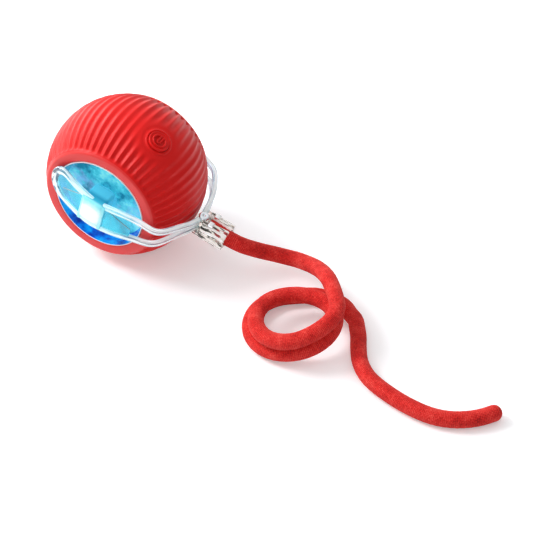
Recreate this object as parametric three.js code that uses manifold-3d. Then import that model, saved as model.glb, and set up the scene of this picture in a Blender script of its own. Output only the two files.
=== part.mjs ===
// A self-rolling ball toy for cats. A clear shell in a ribbed silicone sleeve turns on two stub
// axles inside a clear U-shaped yoke. The motor in the shell drives round a gear that is keyed to
// the yoke, so the ball rolls and drags the yoke's braided tail behind it.
// Millimetres, +Z up. The origin is the spot where the ball rests on the floor, the ball turns
// about Y and the tail leads off towards +X.
import * as THREE from "three";
import { mergeVertices } from "three/addons/utils/BufferGeometryUtils.js";
import { RoundedBoxGeometry } from "three/addons/geometries/RoundedBoxGeometry.js";
import Module from "manifold-3d";

const wasm = await Module();
wasm.setup();

// Clearances and counts
const FIT_GAP = 0.3; // between pieces that seat on each other
const RUN_GAP = 0.3; // between a shaft and what turns on it
const OVERRUN = 1; // how far a cutting tool runs past the face it cuts
const FINE_SIDES = 40;
const ROUND_SIDES = 28;
const PIN_SIDES = 16;

// Ball: sleeve and shell
const BALL_RADIUS = 26;
const REST_FLAT_DEPTH = 0.25; // the soft sleeve flattens this much where it rests
const LIP_HEIGHT = 17.2; // from the ball's middle to each end face
const LIP_OPENING_RADIUS = 16.8;
const LIP_WALL = 1.4;
const SLEEVE_WALL = 1.7;
const RIB_COUNT = 56;
const RIB_DEPTH_AT_LIP = 0.5;
const RIB_DEPTH_AT_MIDDLE = 0.3;
const RIB_BAND = 0.9; // plain edge between the end face and the first of the ribs
const RIB_FADE_START = 5.2; // distances from the button's middle over which the ribs come back
const RIB_FADE_END = 10;
const SLEEVE_ROWS = 9;
const SHELL_WALL = 1.2;
const COLLAR_WALL = 0.7;
const DISH_DEPTH = 4.4; // how far the clear end wall lies below the lip
const RECESS_WALL = 1.2;
const CAVITY_TOP_DROP = 1.2; // wall left over the recess, under the sleeve's lip
const SEAM_GAP = 0.3;
const ARC_STEPS = 5;

// Bearings and axles
const AXLE_RADIUS = 1.5;
const BUSH_WALL = 1.4;
const BUSH_FLANGE = 1.2;
const BUSH_FLANGE_THICKNESS = 0.8;
const BORE_BOSS_WALL = 1.9;
const BORE_BOSS_HEIGHT = 1;
const AXLE_HEAD_SIDE = 4.4;
const AXLE_HEAD_share = 0.44; // of the hub's depth, taken up by the axle's square head
const IDLE_AXLE_REACH = 1.3; // how far the plain axle runs on past its bush

// Yoke
const TAIL_PITCH_DEG = 16; // the yoke droops this much towards the tail
const HUB_LENGTH = 7.4;
const HUB_WIDTH = 8.2;
const HUB_OUTER = 22.6; // outer face of the hub block, from the ball's middle
const HUB_ROUNDING = 0.9;
const HUB_PROUD = 0.5; // the hub stands out this far over the rails
const HUB_TO_FLANGE = 0.5;
const RAIL_WIDTH = 2.2;
const RAIL_THICKNESS = 2.1;
const RAIL_CHAMFER = 0.5;
const RAIL_SPREAD = 4.6; // half the distance between the two rails at the hub
const RAIL_SPREAD_AT_APEX = 1.3;
const RAIL_CLEARANCE = 0.4; // between the rails and the sleeve where they come closest
const ARM_TAIL_SIDE = 15; // where the arm starts to bend down round the ball
const ARM_RISE_AT_TAIL_SIDE = 0.5; // more clearance over the lip there
const ARM_FREE_SIDE = 16; // middle of the rail at the arm's rounded free end
const ARM_LIFT_AT_FREE_END = 2.6; // the free end sweeps up out of the arm's plane
const ARM_LIFT_AT_BEND = 2.6; // and so does the bend round the ball
const ARM_RISE_AT_BEND = 0.45; // more clearance over the sleeve where the bend starts
const ARM_RISE_AT_APEX = 0.85; // and at the apex
const ARC_START_DEG = 50;
const ARC_END_DEG = 86;
const ARC_POINTS = 5;
const ARM_SAG_share = 0.35;
const ARM_SAMPLES = 400;
const RAIL_STATIONS = 25;
const RAIL_TAPER_share = 1.6;
const LOOP_STEPS = 8;
const WEB_STATIONS = 12;
const WEB_THICKNESS = 0.9;
const WEB_INSET = 0.6;
const WEB_TAIL_END = 13.5;

// Tail clamp, at the yoke's apex
const APEX_GAP = 1.2; // slot between the two halves of the yoke
const TAIL_DROP = 0.9; // the clamp lies this far under the arms' plane
const KNUCKLE_CLEARANCE = 1.6; // between the ball and the knuckles
const KNUCKLE_LENGTH = 3.6;
const KNUCKLE_WIDTH = 3.6;
const KNUCKLE_HEIGHT = 4.8;
const LUG_RADIUS = 2.3;
const LUG_SPLIT = 0.3; // gap between the upper and the lower lug
const CLAMP_PIN_INSET = 1.5; // from the knuckle's inner face
const CLAMP_PIN_RADIUS = 1;
const CLAMP_PIN_HEAD_RADIUS = 1.7;
const CLAMP_PIN_HEAD_HEIGHT = 0.8;
const CLAMP_LENGTH = 7.7; // beyond the knuckle
const CLAMP_WIDTH = 8.6;
const CLAMP_HEIGHT = 7.3;
const CLAMP_ROUNDING = 2.3;
const CLAMP_TOOTH_COUNT = 3;
const CLAMP_TOOTH_LENGTH = 0.8;
const CLAMP_TOOTH_HEIGHT = 0.2;
const CLAMP_SLOT_FLARE = 1.3; // extra slot width at the knuckle end
const LATCH_SIDE = 1.9;
const LATCH_HEIGHT = 0.7;
const LATCH_INSET = 1.7; // middle of the latch, beyond the knuckle

// Tail cord
const CORD_DIAMETER = 5;
const CORD_SIDES = 8;
const CORD_STEP_DIAMETERS = 1.4; // short steps, for bends only twice as wide as the cord
const CORD_INSET = 0.4; // the cord's inner end, beyond the knuckle
const CORD_BORE_GAP = 0.3;
const CORD_LEVEL = 5.54; // height from one layer of the coil to the next
const COIL_TURN_DEG = 640;
const COIL_START_DEG = 42; // where the first loop starts, seen from above
const COIL_STEPS_PER_TURN = 24;
const COIL_SIDES = 6;
const COIL_RADIUS = 11.3;
const COIL_LOWER_RADIUS = 13.7;
const COIL_LEAD_IN = 2.8; // the first loop starts this much wider
const COIL_LEAD_IN_DEG = 80;
const COIL_PLACE = [70.1, -17.6];
const COIL_LOWER_PLACE = [69.2, -14.8];
const COIL_SHIFT_DEG = [270, 430]; // the stretch over which one loop passes into the other
const COIL_FIRST_DROP_DEG = [0, 170];
const COIL_LAST_DROP_DEG = [360, 530];
const COIL_LEAST_GAP = 0.4;
const COIL_HEADING_DEG = 0.5; // turn over which a straight end takes its direction
const FULL_TURN_DEG = 360;

// Gear train
const GEAR_MODULE = 0.6;
const LARGE_TEETH = 24;
const SMALL_TEETH = 12;
const PRESSURE_ANGLE_DEG = 20;
const TOOTH_BACKLASH = 0.16;
const CENTRE_SLACK = 0.1;
const ADDENDUM_share = 0.85;
const DEDENDUM_share = 1.2;
const OUTPUT_GEAR_WIDTH = 1.9;
const COMPOUND_GEAR_WIDTH = 2.2;
const GEAR_PIN_RADIUS = 1;
const GEAR_PIN_BOSS_WALL = 0.9;
const COMPOUND_DIRECTION_DEG = 195;
const MOTOR_DIRECTION_DEG = 290;

// Chassis, columns and screws
const CHASSIS_THICKNESS = 1.2;
const CHASSIS_EDGE_GAP = 0.6;
const COLUMN_CIRCLE = 13.2;
const COLUMN_RADIUS = 2.2;
const COLUMN_DIRECTIONS_DEG = [130, 350, 280];
const SCREW_RADIUS = 1;
const SCREW_HEAD_RADIUS = 1.9;
const SCREW_HEAD_HEIGHT = 1.1;
const SCREW_BITE = 3.6; // length of thread in the far column
const SCREW_RECESS_WIDTH = 0.6;
const SCREW_RECESS_LENGTH = 2.4;
const SCREW_RECESS_DEPTH = 0.5;

// Motor
const MOTOR_RADIUS = 5;
const MOTOR_END_GAP = 2.2; // between the motor's end cap and the far end wall
const MOTOR_CAP_RADIUS = 4.6;
const MOTOR_CAP_THICKNESS = 1.2;
const MOTOR_SHAFT_RADIUS = 0.75;
const MOTOR_SHAFT_SEAT = 2.6; // length of the shaft inside the can

// Battery
const BATTERY_DIRECTION_DEG = 315;
const BATTERY_INNER = 8.2;
const BATTERY_THICKNESS = 6.5;
const BATTERY_WIDTH = 10;
const BATTERY_END_GAP = 0.8; // between the battery and the far end wall
const BATTERY_ROUNDING = 0.8;

// Button, and the circuit board below it
const BUTTON_DIRECTION_DEG = 55.5; // above the tail's direction
const BUTTON_OFFSET = -2.9; // along the ball's axis
const BUTTON_RADIUS = 3.5;
const BUTTON_GAP = 0.35;
const BUTTON_PROUD = 0.25;
const BUTTON_THICKNESS = 1.35;
const BUTTON_RING_RADIUS = 2.3;
const BUTTON_RING_WIDTH = 0.5;
const BUTTON_RING_HEIGHT = 0.35;
const BUTTON_TRAVEL = 0.5;
const PLUNGER_RADIUS = 1.5;
const PLUNGER_HOLE_GAP = 0.4;
const BOARD_INNER = 8.4; // underside of the board, from the ball's axis
const BOARD_THICKNESS = 1.2;
const BOARD_END_GAP = 0.4; // between the board and the far end wall
const BOARD_NEAR_GAP = 4.1; // and between its other end and the near end wall
const BOARD_WIDTH = 26;
const SWITCH_SIDE = 4.5;
const SWITCH_HEIGHT = 2.7;
const SWITCH_STEM_RADIUS = 0.9;
const SWITCH_STEM_HEIGHT = 0.6;
const SWITCH_SLACK = 0.1; // left between plunger and stem at full travel
const CHIP_SIDE = 4;
const CHIP_HEIGHT = 1;
const CHIP_ALONG = 2.5;
const CHIP_EDGE_GAP = 3; // from the board's long edge
const LED_LENGTH = 3.4;
const LED_WIDTH = 1.8;
const LED_HEIGHT = 2.2;
const LED_PORT_GAP = 2.05; // between a lamp and the charging port
const LED_INSET = 0.3;
const PORT_WIDTH = 8.9;
const PORT_HEIGHT = 3.2;
const PORT_LENGTH = 7.4;
const PORT_WALL = 0.35;
const PORT_DEPTH = 5.6;
const PORT_TONGUE_WIDTH = 6.4;
const PORT_TONGUE_THICKNESS = 0.7;

const MERGE_TOLERANCE = 1e-4;

// Sizes that follow from the ones above
const CENTRE_HEIGHT = BALL_RADIUS - REST_FLAT_DEPTH;
const SLEEVE_INNER_RADIUS = BALL_RADIUS - SLEEVE_WALL;
const SHELL_RADIUS = SLEEVE_INNER_RADIUS - FIT_GAP;
const SHELL_INNER_RADIUS = SHELL_RADIUS - SHELL_WALL;
const SHOULDER_HEIGHT = LIP_HEIGHT - LIP_WALL - FIT_GAP;
const COLLAR_RADIUS = LIP_OPENING_RADIUS - FIT_GAP;
const DISH_RADIUS = COLLAR_RADIUS - COLLAR_WALL;
const DISH_FACE = LIP_HEIGHT - DISH_DEPTH;
const DISH_BACK = DISH_FACE - SHELL_WALL;
const BUSH_INNER_RADIUS = AXLE_RADIUS + RUN_GAP;
const BUSH_RADIUS = BUSH_INNER_RADIUS + BUSH_WALL;
const BORE_RADIUS = BUSH_RADIUS + FIT_GAP;
const BORE_BOSS_RADIUS = BORE_RADIUS + BORE_BOSS_WALL;
const BORE_BOSS_FACE = DISH_BACK - BORE_BOSS_HEIGHT;
const FLANGE_FACE = DISH_FACE + FIT_GAP + BUSH_FLANGE_THICKNESS;
const HUB_INNER = FLANGE_FACE + HUB_TO_FLANGE;
const HEAD_INNER = HUB_INNER + FIT_GAP;
const AXLE_HEAD_LENGTH = AXLE_HEAD_share * (HUB_OUTER - HUB_INNER);
const POCKET_END = HEAD_INNER + AXLE_HEAD_LENGTH + FIT_GAP;
const IDLE_AXLE_LENGTH = HEAD_INNER - BORE_BOSS_FACE + IDLE_AXLE_REACH;
const OUTPUT_GEAR_OUTER = BORE_BOSS_FACE - RUN_GAP;
const OUTPUT_GEAR_INNER = OUTPUT_GEAR_OUTER - OUTPUT_GEAR_WIDTH;
const SECOND_LAYER_OUTER = OUTPUT_GEAR_INNER - RUN_GAP;
const SECOND_LAYER_INNER = SECOND_LAYER_OUTER - COMPOUND_GEAR_WIDTH;
const CHASSIS_OUTER = SECOND_LAYER_INNER - RUN_GAP - FIT_GAP;
const CHASSIS_INNER = CHASSIS_OUTER - CHASSIS_THICKNESS;
const MOTOR_FACE = CHASSIS_INNER - FIT_GAP;
const MOTOR_REACH = MOTOR_FACE + DISH_BACK - MOTOR_END_GAP;
const MOTOR_LENGTH = MOTOR_REACH - MOTOR_CAP_THICKNESS - FIT_GAP;
const BATTERY_LENGTH = MOTOR_FACE + DISH_BACK - BATTERY_END_GAP;
const BOARD_RIGHT = DISH_BACK - BOARD_END_GAP;
const BOARD_LEFT = BOARD_NEAR_GAP - DISH_BACK;
const CHIP_ACROSS = (BOARD_WIDTH - CHIP_SIDE) / 2 - CHIP_EDGE_GAP;
const LED_ACROSS = (PORT_WIDTH + LED_LENGTH) / 2 + LED_PORT_GAP;
const GEAR_DISTANCE = (GEAR_MODULE * (LARGE_TEETH + SMALL_TEETH)) / 2 + CENTRE_SLACK;
const TAIL_PITCH = THREE.MathUtils.degToRad(TAIL_PITCH_DEG);
const CORD_RADIUS = CORD_DIAMETER / 2;
const CLAMP_BORE_RADIUS = CORD_RADIUS + CORD_BORE_GAP + CLAMP_TOOTH_HEIGHT;
const ARM_AT_HUB = HUB_OUTER - HUB_PROUD - RAIL_THICKNESS / 2; // middle of the rail
const ARM_AT_FREE_END = LIP_HEIGHT + RAIL_CLEARANCE + RAIL_THICKNESS / 2;
const ARM_AT_LIP = ARM_AT_FREE_END + ARM_RISE_AT_TAIL_SIDE;
const ARC_RADIUS = BALL_RADIUS + RAIL_CLEARANCE + RAIL_THICKNESS / 2;
const KNUCKLE_START = BALL_RADIUS + KNUCKLE_CLEARANCE;
const KNUCKLE_END = KNUCKLE_START + KNUCKLE_LENGTH;
const CLAMP_PIN_X = KNUCKLE_START + CLAMP_PIN_INSET;
const CLAMP_END = KNUCKLE_END + CLAMP_LENGTH;
const LATCH_X = KNUCKLE_END + LATCH_INSET;
const CORD_START_X = KNUCKLE_END + CORD_INSET;

// Places in the plane across the ball's axis, as [x, z]
function placeAt(distance, directionDeg, from = [0, 0]) {
  const angle = THREE.MathUtils.degToRad(directionDeg);
  return [from[0] + distance * Math.cos(angle), from[1] + distance * Math.sin(angle)];
}
const COMPOUND_PLACE = placeAt(GEAR_DISTANCE, COMPOUND_DIRECTION_DEG);
const MOTOR_PLACE = placeAt(GEAR_DISTANCE, MOTOR_DIRECTION_DEG, COMPOUND_PLACE);
const COLUMN_PLACES = COLUMN_DIRECTIONS_DEG.map((deg) => placeAt(COLUMN_CIRCLE, deg));

const finishes = {
  silicone: new THREE.MeshStandardMaterial({ color: 0xd9272d, roughness: 0.55 }),
  clear: new THREE.MeshStandardMaterial({
    color: 0xeaf2f6, roughness: 0.08, transparent: true, opacity: 0.4,
  }),
  glowing: new THREE.MeshStandardMaterial({
    color: 0x58c8e6, roughness: 0.2, transparent: true, opacity: 0.6, emissive: 0x1c90c8,
  }),
  cord: new THREE.MeshStandardMaterial({ color: 0xd8262b, roughness: 0.85 }),
  steel: new THREE.MeshStandardMaterial({ color: 0xb9bcc0, roughness: 0.3, metalness: 1 }),
  brass: new THREE.MeshStandardMaterial({ color: 0xc9a24b, roughness: 0.35, metalness: 1 }),
  acetal: new THREE.MeshStandardMaterial({ color: 0xf0efe8, roughness: 0.45 }),
  board: new THREE.MeshStandardMaterial({ color: 0x1d6a3c, roughness: 0.5 }),
  black: new THREE.MeshStandardMaterial({ color: 0x1b1c1e, roughness: 0.5 }),
  cell: new THREE.MeshStandardMaterial({ color: 0xbfc3c8, roughness: 0.4, metalness: 0.6 }),
};

// A closed mesh as a solid that can be joined and cut
function solidOf(geometry) {
  const loose = geometry.index ? geometry.toNonIndexed() : geometry;
  const bare = new THREE.BufferGeometry();
  bare.setAttribute("position", loose.getAttribute("position").clone());
  const merged = mergeVertices(bare, MERGE_TOLERANCE);
  const corners = [];
  const all = merged.index.array;
  for (let i = 0; i < all.length; i += 3) {
    const [a, b, c] = [all[i], all[i + 1], all[i + 2]];
    if (a !== b && b !== c && c !== a) corners.push(a, b, c);
  }
  const vertProperties = merged.getAttribute("position").array;
  const made = new wasm.Manifold(
    new wasm.Mesh({ numProp: 3, vertProperties, triVerts: new Uint32Array(corners) }),
  );
  if (made.volume() > 0) return made;
  const turned = new Uint32Array(corners.length);
  for (let i = 0; i < corners.length; i += 3) {
    turned.set([corners[i], corners[i + 2], corners[i + 1]], i);
  }
  return new wasm.Manifold(new wasm.Mesh({ numProp: 3, vertProperties, triVerts: turned }));
}

function geometryOf(solid) {
  const { vertProperties, triVerts, numProp } = solid.getMesh();
  const corners = [];
  for (const corner of triVerts) {
    corners.push(...vertProperties.subarray(corner * numProp, corner * numProp + 3));
  }
  const geometry = new THREE.BufferGeometry();
  geometry.setAttribute("position", new THREE.Float32BufferAttribute(corners, 3));
  geometry.computeVertexNormals();
  return geometry;
}

const joined = (first, ...rest) => rest.reduce((whole, piece) => whole.add(piece), first);
const cut = (whole, ...tools) => tools.reduce((left, tool) => left.subtract(tool), whole);

function piece(name, solid, finish) {
  const mesh = new THREE.Mesh(geometryOf(solid), finish);
  mesh.name = name;
  return mesh;
}

// A profile of [radius, height] points turned about the Y axis. It closes on itself or on the axis.
function turned(profile, sides) {
  const points = profile.map(([radius, height]) => new THREE.Vector2(radius, height));
  if (profile[0][0] > 0) points.push(points[0].clone());
  return solidOf(new THREE.LatheGeometry(points, sides));
}

// A round bar along Y between two heights, at a place [x, z]
function rod(radius, from, to, place = [0, 0], sides = ROUND_SIDES) {
  const bar = new THREE.CylinderGeometry(radius, radius, Math.abs(to - from), sides);
  bar.translate(place[0], (from + to) / 2, place[1]);
  return solidOf(bar);
}

// A round bar along Z between two heights, at [x, y]
function upright(radius, from, to, x, y, sides = ROUND_SIDES) {
  const bar = new THREE.CylinderGeometry(radius, radius, Math.abs(to - from), sides);
  bar.rotateX(Math.PI / 2).translate(x, y, (from + to) / 2);
  return solidOf(bar);
}

// A block between two corners
function block(low, high) {
  const size = high.map((value, i) => value - low[i]);
  const box = new THREE.BoxGeometry(...size);
  box.translate(...high.map((value, i) => (value + low[i]) / 2));
  return solidOf(box);
}

function roundedBlock(low, high, rounding) {
  const size = high.map((value, i) => value - low[i]);
  const box = new RoundedBoxGeometry(...size, 1, rounding);
  box.translate(...high.map((value, i) => (value + low[i]) / 2));
  return solidOf(box);
}

// A flat shape drawn in x and z, as a plate across the ball's axis between two heights
function plate(shape, from, to) {
  const flat = new THREE.ExtrudeGeometry(shape, {
    depth: Math.abs(to - from), bevelEnabled: false, curveSegments: PIN_SIDES,
  });
  flat.rotateX(Math.PI / 2).translate(0, Math.max(from, to), 0);
  return solidOf(flat);
}

// Rings of points, all with the same count, skinned into one closed body
function skinned(rings) {
  const count = rings[0].length;
  const triangles = [];
  const add = (...points) => points.forEach((point) => triangles.push(...point.toArray()));
  rings.slice(1).forEach((ring, r) => {
    const before = rings[r];
    ring.forEach((point, i) => {
      const next = (i + 1) % count;
      add(before[i], before[next], point);
      add(point, before[next], ring[next]);
    });
  });
  for (const [ring, flip] of [[rings[0], true], [rings[rings.length - 1], false]]) {
    const middle = new THREE.Vector3();
    ring.forEach((point) => middle.addScaledVector(point, 1 / count));
    ring.forEach((point, i) => {
      const next = ring[(i + 1) % count];
      if (flip) add(middle, next, point);
      else add(middle, point, next);
    });
  }
  const geometry = new THREE.BufferGeometry();
  geometry.setAttribute("position", new THREE.Float32BufferAttribute(triangles, 3));
  return solidOf(geometry);
}

// A solid mirrored in y, for the other side of the ball
function mirrored(solid) {
  return solidOf(geometryOf(solid).scale(1, -1, 1));
}

// A solid drawn with x along the ball's axis and y straight out of it, turned to a direction
// given in degrees above the tail's direction
function facing(solid, directionDeg) {
  const [x, z] = placeAt(1, directionDeg);
  const basis = new THREE.Matrix4().makeBasis(
    new THREE.Vector3(0, 1, 0),
    new THREE.Vector3(x, 0, z),
    new THREE.Vector3(z, 0, -x),
  );
  return solidOf(geometryOf(solid).applyMatrix4(basis));
}

// Points of a circular arc from one height to another, as [radius, height]
function arcPoints(radius, fromHeight, toHeight, steps) {
  const start = Math.asin(fromHeight / radius);
  const end = Math.asin(toHeight / radius);
  return Array.from({ length: steps + 1 }, (_, i) => {
    const angle = THREE.MathUtils.lerp(start, end, i / steps);
    return [radius * Math.cos(angle), radius * Math.sin(angle)];
  });
}

// Sleeve: a ball with two flat ends, ribbed from lip to lip, round a hollow for the shell
function buttonTool(radius, from, to) {
  return facing(rod(radius, from, to, [BUTTON_OFFSET, 0]), BUTTON_DIRECTION_DEG);
}

function ribDepth(point) {
  const [x, z] = placeAt(BALL_RADIUS, BUTTON_DIRECTION_DEG);
  const button = new THREE.Vector3(x, BUTTON_OFFSET, z);
  const height = Math.abs(point.y) / LIP_HEIGHT;
  const depth = THREE.MathUtils.lerp(RIB_DEPTH_AT_MIDDLE, RIB_DEPTH_AT_LIP, height);
  const back = THREE.MathUtils.smoothstep(point.distanceTo(button), RIB_FADE_START, RIB_FADE_END);
  return depth * back;
}

function ribbedRing(height, ribbed) {
  const radius = Math.sqrt(BALL_RADIUS ** 2 - height ** 2);
  return Array.from({ length: 2 * RIB_COUNT }, (_, i) => {
    const angle = (Math.PI * i) / RIB_COUNT;
    const crest = new THREE.Vector3(
      radius * Math.sin(angle), height, -radius * Math.cos(angle),
    );
    if (!ribbed || i % 2 === 0) return crest;
    return crest.setLength(crest.length() - ribDepth(crest));
  });
}

function siliconeSleeve() {
  const ribHeights = arcPoints(
    BALL_RADIUS, -(LIP_HEIGHT - RIB_BAND), LIP_HEIGHT - RIB_BAND, SLEEVE_ROWS,
  ).map(([, height]) => height);
  const rings = [
    ribbedRing(-LIP_HEIGHT, false),
    ...ribHeights.map((height) => ribbedRing(height, true)),
    ribbedRing(LIP_HEIGHT, false),
  ];
  const lipBack = LIP_HEIGHT - LIP_WALL;
  const hollow = turned([
    [0, -LIP_HEIGHT - OVERRUN],
    [LIP_OPENING_RADIUS, -LIP_HEIGHT - OVERRUN],
    [LIP_OPENING_RADIUS, -lipBack],
    ...arcPoints(SLEEVE_INNER_RADIUS, -lipBack, lipBack, 2 * ARC_STEPS),
    [LIP_OPENING_RADIUS, lipBack],
    [LIP_OPENING_RADIUS, LIP_HEIGHT + OVERRUN],
    [0, LIP_HEIGHT + OVERRUN],
  ], FINE_SIDES);
  const floor = block(
    [-BALL_RADIUS, -BALL_RADIUS, -BALL_RADIUS - OVERRUN],
    [BALL_RADIUS, BALL_RADIUS, -CENTRE_HEIGHT],
  );
  const buttonHole = buttonTool(
    BUTTON_RADIUS + BUTTON_GAP, SHELL_INNER_RADIUS, BALL_RADIUS + OVERRUN,
  );
  return cut(skinned(rings), hollow, floor, buttonHole);
}

// Shell: two clear halves that meet at the ball's middle, each with a recessed end wall
function shellHalf() {
  const seam = SEAM_GAP / 2;
  const cavityTop = SHOULDER_HEIGHT - CAVITY_TOP_DROP;
  const recessRadius = DISH_RADIUS + RECESS_WALL;
  return turned([
    ...arcPoints(SHELL_RADIUS, seam, SHOULDER_HEIGHT, ARC_STEPS),
    [COLLAR_RADIUS, SHOULDER_HEIGHT],
    [COLLAR_RADIUS, LIP_HEIGHT],
    [DISH_RADIUS, LIP_HEIGHT],
    [DISH_RADIUS, DISH_FACE],
    [BORE_RADIUS, DISH_FACE],
    [BORE_RADIUS, BORE_BOSS_FACE],
    [BORE_BOSS_RADIUS, BORE_BOSS_FACE],
    [BORE_BOSS_RADIUS, DISH_BACK],
    [recessRadius, DISH_BACK],
    [recessRadius, cavityTop],
    ...arcPoints(SHELL_INNER_RADIUS, cavityTop, seam, ARC_STEPS),
  ], FINE_SIDES);
}

// The right half carries the screws' through holes and the charging port's slot
function shellRight() {
  const columnEnd = -CHASSIS_INNER + FIT_GAP;
  let half = shellHalf();
  for (const place of COLUMN_PLACES) {
    const column = rod(COLUMN_RADIUS, columnEnd, DISH_BACK + SHELL_WALL / 2, place, PIN_SIDES);
    half = half.add(column);
  }
  for (const place of COLUMN_PLACES) {
    half = half.subtract(
      rod(SCREW_RADIUS + FIT_GAP, columnEnd - OVERRUN, DISH_FACE + OVERRUN, place, PIN_SIDES),
    );
  }
  const portMiddle = BOARD_INNER + BOARD_THICKNESS + FIT_GAP + PORT_HEIGHT / 2;
  const slot = facing(block(
    [DISH_BACK - OVERRUN, portMiddle - PORT_HEIGHT / 2 - FIT_GAP, -PORT_WIDTH / 2 - FIT_GAP],
    [DISH_FACE + OVERRUN, portMiddle + PORT_HEIGHT / 2 + FIT_GAP, PORT_WIDTH / 2 + FIT_GAP],
  ), BUTTON_DIRECTION_DEG);
  return cut(half, slot);
}

// The left half carries the screws' blind columns, the gear pin's seat and the plunger's hole
function shellLeft() {
  const columnEnd = -CHASSIS_OUTER - FIT_GAP;
  const wallMiddle = -DISH_BACK - SHELL_WALL / 2;
  let half = mirrored(shellHalf());
  for (const place of COLUMN_PLACES) {
    half = half.add(rod(COLUMN_RADIUS, columnEnd, wallMiddle, place, PIN_SIDES));
  }
  const pinBoss = rod(
    GEAR_PIN_RADIUS + FIT_GAP + GEAR_PIN_BOSS_WALL, -BORE_BOSS_FACE, wallMiddle,
    COMPOUND_PLACE, PIN_SIDES,
  );
  half = half.add(pinBoss);
  for (const place of COLUMN_PLACES) {
    half = half.subtract(rod(
      SCREW_RADIUS + FIT_GAP, columnEnd + OVERRUN, columnEnd - SCREW_BITE - FIT_GAP,
      place, PIN_SIDES,
    ));
  }
  const pinSeat = rod(
    GEAR_PIN_RADIUS + FIT_GAP, -BORE_BOSS_FACE + OVERRUN, -DISH_BACK, COMPOUND_PLACE, PIN_SIDES,
  );
  const plungerHole = buttonTool(
    PLUNGER_RADIUS + PLUNGER_HOLE_GAP, SHELL_INNER_RADIUS - OVERRUN, SHELL_RADIUS + OVERRUN,
  );
  return cut(half, pinSeat, plungerHole);
}

function shellScrew(place) {
  const seat = DISH_FACE + FIT_GAP;
  const tip = -CHASSIS_OUTER - FIT_GAP - SCREW_BITE;
  const top = seat + SCREW_HEAD_HEIGHT;
  const shank = rod(SCREW_RADIUS, tip, seat + SCREW_HEAD_HEIGHT / 2, place, PIN_SIDES);
  const head = rod(SCREW_HEAD_RADIUS, seat, top, place, PIN_SIDES);
  const half = [SCREW_RECESS_WIDTH / 2, SCREW_RECESS_LENGTH / 2];
  const slots = [half, half.toReversed()].map(([x, z]) => block(
    [place[0] - x, top - SCREW_RECESS_DEPTH, place[1] - z],
    [place[0] + x, top + OVERRUN, place[1] + z],
  ));
  return cut(joined(shank, head), ...slots);
}

function bush() {
  return turned([
    [BUSH_INNER_RADIUS, BORE_BOSS_FACE],
    [BUSH_RADIUS, BORE_BOSS_FACE],
    [BUSH_RADIUS, DISH_FACE + FIT_GAP],
    [BUSH_RADIUS + BUSH_FLANGE, DISH_FACE + FIT_GAP],
    [BUSH_RADIUS + BUSH_FLANGE, FLANGE_FACE],
    [BUSH_INNER_RADIUS, FLANGE_FACE],
  ], ROUND_SIDES);
}

// Axles: a square head that the yoke's hub holds still, and a round shank in the bush
function axle(length) {
  const side = AXLE_HEAD_SIDE / 2;
  const head = block(
    [-side, HEAD_INNER, -side], [side, HEAD_INNER + AXLE_HEAD_LENGTH, side],
  );
  const shank = rod(AXLE_RADIUS, HEAD_INNER + AXLE_HEAD_LENGTH / 2, HEAD_INNER - length);
  return joined(head, shank);
}

// The drive axle runs on through the gear and into the chassis, with six flats under the gear
function gearKey(radius, from, to) {
  return rod(radius, from, to, [0, 0], 6);
}

function driveAxle() {
  const whole = axle(HEAD_INNER - CHASSIS_INNER - FIT_GAP);
  const from = OUTPUT_GEAR_INNER - FIT_GAP;
  const to = OUTPUT_GEAR_OUTER + FIT_GAP / 2;
  const ring = cut(
    rod(AXLE_RADIUS + OVERRUN, from, to),
    gearKey(AXLE_RADIUS, from - OVERRUN, to + OVERRUN),
  );
  return mirrored(cut(whole, ring));
}

// Gears: involute flanks, each drawn through its root, its pitch circle and its tip
function toothHalfAngle(radius, teeth) {
  const pitchRadius = (GEAR_MODULE * teeth) / 2;
  const pressure = THREE.MathUtils.degToRad(PRESSURE_ANGLE_DEG);
  const baseRadius = pitchRadius * Math.cos(pressure);
  const involute = (angle) => Math.tan(angle) - angle;
  const at = radius > baseRadius ? involute(Math.acos(baseRadius / radius)) : 0;
  const thickness = (Math.PI * GEAR_MODULE) / 2 - TOOTH_BACKLASH;
  return thickness / (2 * pitchRadius) + involute(pressure) - at;
}

function polar(radius, angle) {
  return new THREE.Vector2(radius * Math.cos(angle), radius * Math.sin(angle));
}

function gearShape(teeth, phaseDeg) {
  const pitchRadius = (GEAR_MODULE * teeth) / 2;
  const root = pitchRadius - DEDENDUM_share * GEAR_MODULE;
  const tip = pitchRadius + ADDENDUM_share * GEAR_MODULE;
  const outline = [];
  for (let tooth = 0; tooth < teeth; tooth += 1) {
    const middle = THREE.MathUtils.degToRad(phaseDeg) + (2 * Math.PI * tooth) / teeth;
    const flank = [root, pitchRadius, tip].map((radius) => [
      radius, toothHalfAngle(radius, teeth),
    ]);
    for (const [radius, half] of flank) outline.push(polar(radius, middle - half));
    for (const [radius, half] of flank.toReversed()) outline.push(polar(radius, middle + half));
  }
  return new THREE.Shape(outline);
}

function gear(teeth, phaseDeg, from, to, place = [0, 0]) {
  const flat = geometryOf(plate(gearShape(teeth, phaseDeg), from, to));
  return solidOf(flat.translate(place[0], 0, place[1]));
}

// A gap of this many teeth faces back along the line of centres
function gapPhase(directionDeg, teeth) {
  const halfPitchDeg = THREE.MathUtils.radToDeg(Math.PI / teeth);
  return directionDeg + THREE.MathUtils.radToDeg(Math.PI) + halfPitchDeg;
}

function outputGear() {
  const whole = gear(
    LARGE_TEETH, COMPOUND_DIRECTION_DEG, -OUTPUT_GEAR_INNER, -OUTPUT_GEAR_OUTER,
  );
  const key = gearKey(AXLE_RADIUS + FIT_GAP, -OUTPUT_GEAR_OUTER - OVERRUN, 0);
  return cut(whole, solidOf(geometryOf(key).rotateY(TAIL_PITCH)));
}

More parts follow.
